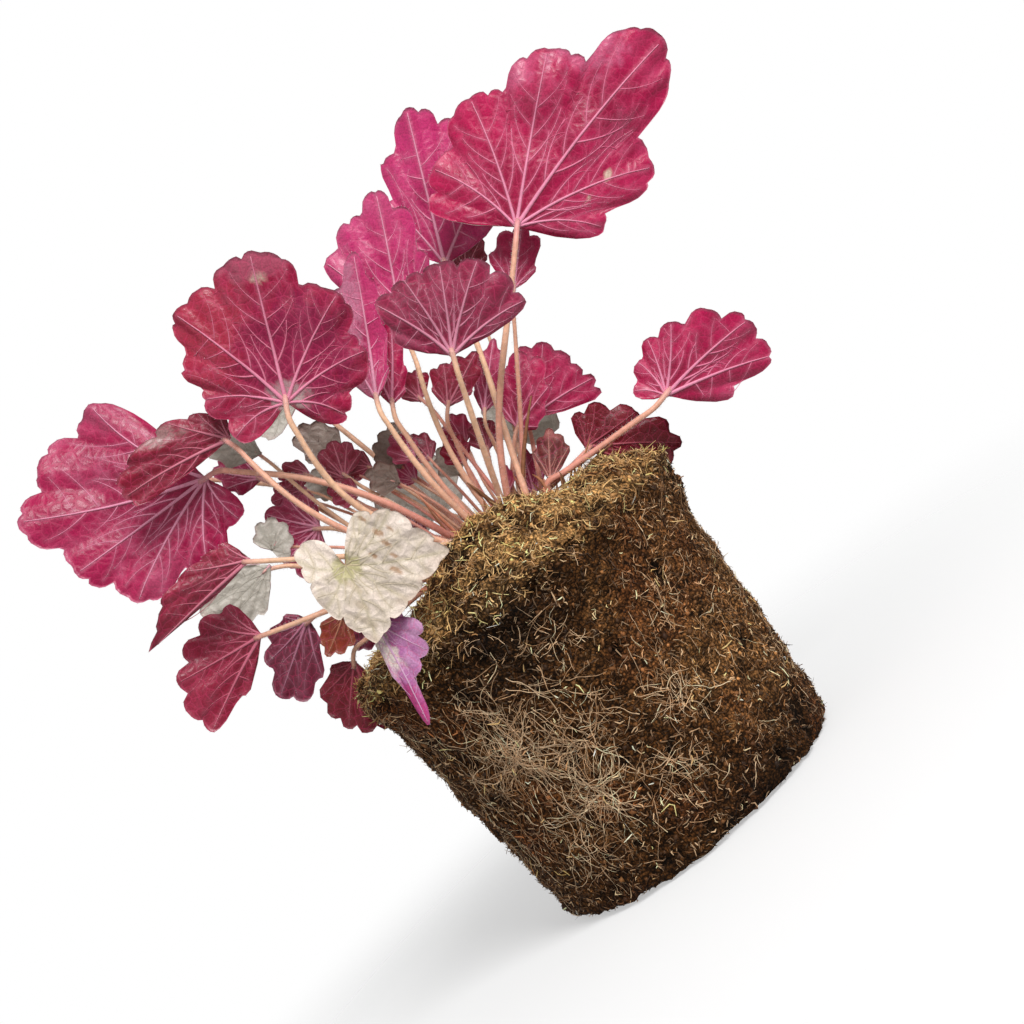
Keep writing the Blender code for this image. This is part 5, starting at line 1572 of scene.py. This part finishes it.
def add_stubs(mesh, rng):
    """Withered feet of old stalks between the living ones, bent and narrowed at their ends."""
    for _ in range(STUBS):
        turn, share = rng.uniform(-math.pi, math.pi), math.sqrt(rng.uniform(0.02, 0.92))
        x = CROWN_AT[0] + share * CROWN_RADIUS * math.cos(turn)
        y = CROWN_AT[1] + share * CROWN_RADIUS * math.sin(turn)
        foot = np.array([x, y, float(crown_height(x, y)) - 1.0])
        lean = share * math.radians(58) + rng.normal(0, 0.15)
        way = np.array([math.sin(lean) * math.cos(turn), math.sin(lean) * math.sin(turn), math.cos(lean)])
        length = rng.uniform(5, 16) if rng.uniform() < 0.75 else rng.uniform(16, 30)
        bend = rng.normal(0, 0.25, 3)
        steps = np.linspace(0, 1, 7)[:, None]
        path = foot + way * steps * length + bend * steps**2 * length
        radii = rng.uniform(0.45, 1.0) * np.array([1.3, 1.1, 0.95, 0.9, 0.85, 0.7, 0.25])
        colour = mix(mix(BARK, STALK_FOOT, rng.uniform(0, 1)), PEAT_LIGHT, rng.uniform(0, 0.6))
        add_tubes(mesh, path[None], radii[None], 6, 0, colour)


def make_crown(spots, materials):
    """Woody dome with a papery sheath round each stalk's foot."""
    rng = np.random.default_rng(4)
    mesh = Mesh()
    turns = np.linspace(0, 2 * math.pi, CROWN_COLUMNS, endpoint=False)
    shares = np.linspace(0.02, 1.0, CROWN_RINGS)
    radius = shares[:, None] * CROWN_RADIUS * 0.99
    x = CROWN_AT[0] + radius * np.cos(turns)
    y = CROWN_AT[1] + radius * np.sin(turns)
    z = crown_height(x, y) - 0.3
    grid = np.stack([x, y, z], axis=-1)
    bumps = noise(grid, 3.0, 31) + 0.6 * noise(grid, 1.3, 32)
    grid[..., 2] += 0.55 * bumps
    grid = np.concatenate([grid, grid[-1:] - (0, 0, CROWN_SKIRT)])
    bumps = np.concatenate([bumps, bumps[-1:]])
    # Darker where the dome's surface dips: painted shade in its hollows.
    add_rings(mesh, grid, mix(BARK, PEAT_DARK, smooth(-bumps, -0.4, 0.9)), downward=True)
    add_stubs(mesh, rng)
    for spot in spots:
        foot = np.array([spot[0], spot[1], float(crown_height(*spot))])
        way = seat_direction(spot)
        for _ in range(SHEATHS):
            out = np.cross(way, rng.normal(size=3))
            out /= np.linalg.norm(out)
            steps = np.linspace(-1.0, rng.uniform(4.0, 8.5), 5)
            spread = 1.75 + 0.16 * np.maximum(steps, 0)
            path = foot + way * steps[:, None] + out * spread[:, None]
            colour = mix(BARK, SHEATH_RED, rng.uniform(0, 1))
            radii = np.array([0.9, 0.95, 0.8, 0.5, 0.12])
            add_tubes(mesh, path[None], radii[None], 5, 0, colour)
    piece = mesh.make("woody_crown", materials)
    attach(piece, "root")
    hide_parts("crown")


def new_material(name):
    material = bpy.data.materials.new(name)
    material.use_nodes = True
    tree = material.node_tree
    return material, tree, tree.nodes["Principled BSDF"]


def plug(tree, made, sockets):
    """Gives each socket of a node its value, or the output of another node."""
    for key, value in sockets.items():
        if isinstance(value, bpy.types.NodeSocket):
            tree.links.new(value, made.inputs[key])
        else:
            made.inputs[key].default_value = value


def node(tree, kind, sockets=None, **settings):
    made = tree.nodes.new(kind)
    for key, value in settings.items():
        setattr(made, key, value)
    plug(tree, made, sockets or {})
    return made


def painted(tree):
    """The piece's own paint, laid down point by point."""
    return node(tree, "ShaderNodeVertexColor", layer_name="paint").outputs["Color"]


def place_in_piece(tree):
    return node(tree, "ShaderNodeTexCoord").outputs["Object"]


def ramp(tree, value, low, high, start=0.0, end=1.0, kind="LINEAR"):
    """Runs from low to high while the value runs from start to end."""
    sockets = {"Value": value, "From Min": start, "From Max": end, "To Min": low, "To Max": high}
    return node(tree, "ShaderNodeMapRange", sockets, interpolation_type=kind).outputs["Result"]


def shade_noise(tree, coordinates, scale, low, high):
    """A noise between two numbers, to be multiplied into a colour, and the noise itself."""
    source = node(tree, "ShaderNodeTexNoise", {"Vector": coordinates, "Scale": scale, "Detail": 3.0})
    return ramp(tree, source.outputs["Fac"], low, high, 0.3, 0.7), source.outputs["Fac"]


def warped(tree, coordinates, scale, shift):
    """The coordinates, pushed about by a noise."""
    source = node(tree, "ShaderNodeTexNoise", {"Vector": coordinates, "Scale": scale})
    sockets = {0: source.outputs["Color"], 1: shift, 2: coordinates}
    return node(tree, "ShaderNodeVectorMath", sockets, operation="MULTIPLY_ADD").outputs["Vector"]


def times(tree, colour, factor):
    sockets = {0: colour, "Scale": factor}
    return node(tree, "ShaderNodeVectorMath", sockets, operation="SCALE").outputs["Vector"]


def tinted(tree, colour, line_colour, line, share):
    """The colour, led toward another one along the lines."""
    amount = node(tree, "ShaderNodeMath", {0: line, 1: share}, operation="MULTIPLY").outputs["Value"]
    sockets = {"Factor": amount, "A": colour, "B": (*line_colour, 1.0)}
    return node(tree, "ShaderNodeMix", sockets, data_type="RGBA").outputs["Result"]


def bump(tree, shader, height, strength, distance, below=None):
    sockets = {"Height": height, "Strength": strength, "Distance": distance}
    if below is not None:
        sockets["Normal"] = below
    normal = node(tree, "ShaderNodeBump", sockets).outputs["Normal"]
    plug(tree, shader, {"Normal": normal})
    return normal


def net(tree, coordinates, scale, width):
    """A net of fine veins: how close a place is to a line, and the pillow between the lines."""
    place = warped(tree, coordinates, scale * 0.9, (0.55 / scale, 0.55 / scale, 0.0))
    sockets = {"Vector": place, "Scale": scale}
    cells = node(tree, "ShaderNodeTexVoronoi", sockets, feature="DISTANCE_TO_EDGE", voronoi_dimensions="2D")
    far = cells.outputs["Distance"]
    line = ramp(tree, far, 1.0, 0.0, 0.0, width, "SMOOTHSTEP")
    return line, ramp(tree, far, 0.0, 1.0, 0.0, PILLOW_WIDTH, "SMOOTHSTEP")


def blade_material(name, net_colour, net_share, roughness, quilting, side, dark):
    """Quilted leaf skin: paint, a two-scale net of veins, mottling and the quilting as relief."""
    material, tree, shader = new_material(name)
    flat = node(tree, "ShaderNodeUVMap", uv_map="flat").outputs["UV"]
    grain, _ = shade_noise(tree, flat, 1.6, dark, 1.08)
    line, pillow = net(tree, flat, 0.27, 0.07)
    fine_line, fine_pillow = net(tree, flat, 0.75, 0.09)
    colour = tinted(tree, times(tree, painted(tree), grain), net_colour, line, net_share)
    colour = tinted(tree, colour, net_colour, fine_line, net_share * 0.4)
    first = bump(tree, shader, pillow, quilting, side * 0.0005)
    second = bump(tree, shader, fine_pillow, quilting * 0.6, side * 0.00015, first)
    _, skin = shade_noise(tree, flat, 4.5, 0.9, 1.1)
    bump(tree, shader, skin, 0.25, 0.00006, second)
    gloss = ramp(tree, pillow, roughness + 0.12, roughness - 0.04)
    plug(tree, shader, {"Base Color": colour, "Roughness": gloss, "Specular IOR Level": 0.38})
    return material


def peat_material():
    """Crumbly peat: cells of many browns with black gaps between them as painted shade, over the painted
    tone.
    """
    material, tree, shader = new_material("peat")
    place = warped(tree, place_in_piece(tree), 900.0, (0.0012, 0.0012, 0.0012))
    cells = node(tree, "ShaderNodeTexVoronoi", {"Vector": place, "Scale": 1050.0})
    tone = node(tree, "ShaderNodeSeparateColor", {"Color": cells.outputs["Color"]}).outputs["Red"]
    # Black gaps between the cells: painted shade.
    gap = ramp(tree, cells.outputs["Distance"], 1.0, 0.15, 0.25, 0.75)
    colour = times(tree, times(tree, painted(tree), ramp(tree, tone, 0.25, 1.9)), gap)
    bump(tree, shader, gap, 0.8, 0.0006)
    plug(tree, shader, {"Base Color": colour, "Roughness": 0.9, "Specular IOR Level": 0.1})
    return material


def plain_material(name, roughness, grain_scale, low, high, relief_height, sheen=0.0):
    """Painted skin with a fine grain, for stalks, veins, fibres and roots."""
    material, tree, shader = new_material(name)
    grain, height = shade_noise(tree, place_in_piece(tree), grain_scale, low, high)
    colour = times(tree, painted(tree), grain)
    bump(tree, shader, height, 0.6, relief_height)
    plug(tree, shader, {"Base Color": colour, "Roughness": roughness, "Sheen Weight": sheen,
                        "Specular IOR Level": 0.25})
    return material


def leaf_materials():
    return [
        blade_material("leaf_underside", (0.64, 0.045, 0.15), 0.30, 0.36, 0.20, -1.0, 0.70),
        blade_material("leaf_upper_side", (0.34, 0.30, 0.24), 0.32, 0.48, 0.4, 1.0, 0.88),
        plain_material("leaf_vein", 0.45, 900.0, 0.88, 1.08, 0.00005, 0.05),
        plain_material("leaf_upper_vein", 0.55, 900.0, 0.88, 1.08, 0.00005),
        plain_material("leaf_stalk", 0.40, 700.0, 0.85, 1.08, 0.00008, 0.08),
        plain_material("leaf_hair", 0.60, 500.0, 0.95, 1.05, 0.00002),
    ]


def make_floor():
    """Round pale floor that fades into the white all round."""
    mesh = bpy.data.meshes.new("floor")
    turns = np.linspace(0, 2 * math.pi, FLOOR_SIDES, endpoint=False)
    edge = [(FLOOR_RADIUS * math.cos(t), FLOOR_RADIUS * math.sin(t), 0.0) for t in turns]
    mesh.from_pydata(edge, [], [tuple(range(FLOOR_SIDES))])
    floor = bpy.data.objects.new("floor", mesh)
    bpy.context.scene.collection.objects.link(floor)
    floor.location.z = -FLOOR_GAP
    material, tree, shader = new_material("pale_floor")
    far = node(tree, "ShaderNodeVectorMath", {0: place_in_piece(tree)}, operation="LENGTH").outputs["Value"]
    fade = ramp(tree, far, 0.55, 0.0, 0.10, 0.34, "SMOOTHSTEP")
    plug(tree, shader, {"Base Color": (0.93, 0.93, 0.93, 1.0), "Roughness": 0.9,
                        "Specular IOR Level": 0.1, "Alpha": fade})
    mesh.materials.append(material)


def make_lights():
    """White surroundings, a large soft key from the upper right of the picture and a weak fill."""
    world = bpy.data.worlds.new("studio")
    bpy.context.scene.world = world
    world.use_nodes = True
    tree = world.node_tree
    dim = tree.nodes["Background"]
    plug(tree, dim, {"Color": WHITE, "Strength": AMBIENT})
    seen = node(tree, "ShaderNodeBackground", {"Color": WHITE, "Strength": 1.0})
    ray = node(tree, "ShaderNodeLightPath").outputs["Is Camera Ray"]
    sockets = {"Fac": ray, 1: dim.outputs["Background"], 2: seen.outputs["Background"]}
    choice = node(tree, "ShaderNodeMixShader", sockets).outputs["Shader"]
    plug(tree, tree.nodes["World Output"], {"Surface": choice})
    for name, place, size, power in LIGHTS:
        light = bpy.data.lights.new(name, "AREA")
        light.shape = "DISK"
        light.size = size
        light.energy = power
        lamp = bpy.data.objects.new(name, light)
        bpy.context.scene.collection.objects.link(lamp)
        lamp.location = place
        aim = Vector(TARGET) - Vector(place)
        lamp.rotation_euler = aim.to_track_quat("-Z", "Y").to_euler()


def make_camera():
    """Camera of the photo: nearly level, turned about its own axis as far as the plant leans there."""
    right = Vector((1.0, 0.0, 0.0))
    up = Vector((0.0, math.sin(ELEVATION), math.cos(ELEVATION)))
    back = Vector((0.0, -math.cos(ELEVATION), math.sin(ELEVATION)))
    tilted_right = right * math.cos(ROLL) - up * math.sin(ROLL)
    tilted_up = right * math.sin(ROLL) + up * math.cos(ROLL)
    data = bpy.data.cameras.new("camera")
    data.lens = LENS
    data.sensor_width = SENSOR
    data.clip_start = NEAREST
    camera = bpy.data.objects.new("camera", data)
    bpy.context.scene.collection.objects.link(camera)
    turned = Matrix((tilted_right, tilted_up, back)).transposed().to_4x4()
    camera.matrix_world = Matrix.Translation(Vector(TARGET) + back * DISTANCE) @ turned
    bpy.context.scene.camera = camera


def main():
    scene = bpy.context.scene
    scene.view_settings.view_transform = "Standard"
    blades = [Blade(entry) for entry in LEAVES]
    spots = seats(blades)
    routes = relax(blades, [first_route(blade, spot) for blade, spot in zip(blades, spots)])
    materials = leaf_materials()
    for number, (blade, route, spot) in enumerate(zip(blades, routes, spots)):
        make_leaf(blade, route, spot, number, materials)
    make_young(materials)
    peat = [peat_material()]
    thread = [plain_material("root_thread", 0.60, 900.0, 0.75, 1.12, 0.00006)]
    bark = [plain_material("bark", 0.75, 700.0, 0.70, 1.15, 0.0003)]
    soil = soil_surface()
    make_ball(soil, peat)
    make_peat_fibres(soil, thread)
    make_roots(thread)
    make_moss(soil, thread)
    make_crown(spots, bark)
    make_floor()
    make_lights()
    make_camera()


main()
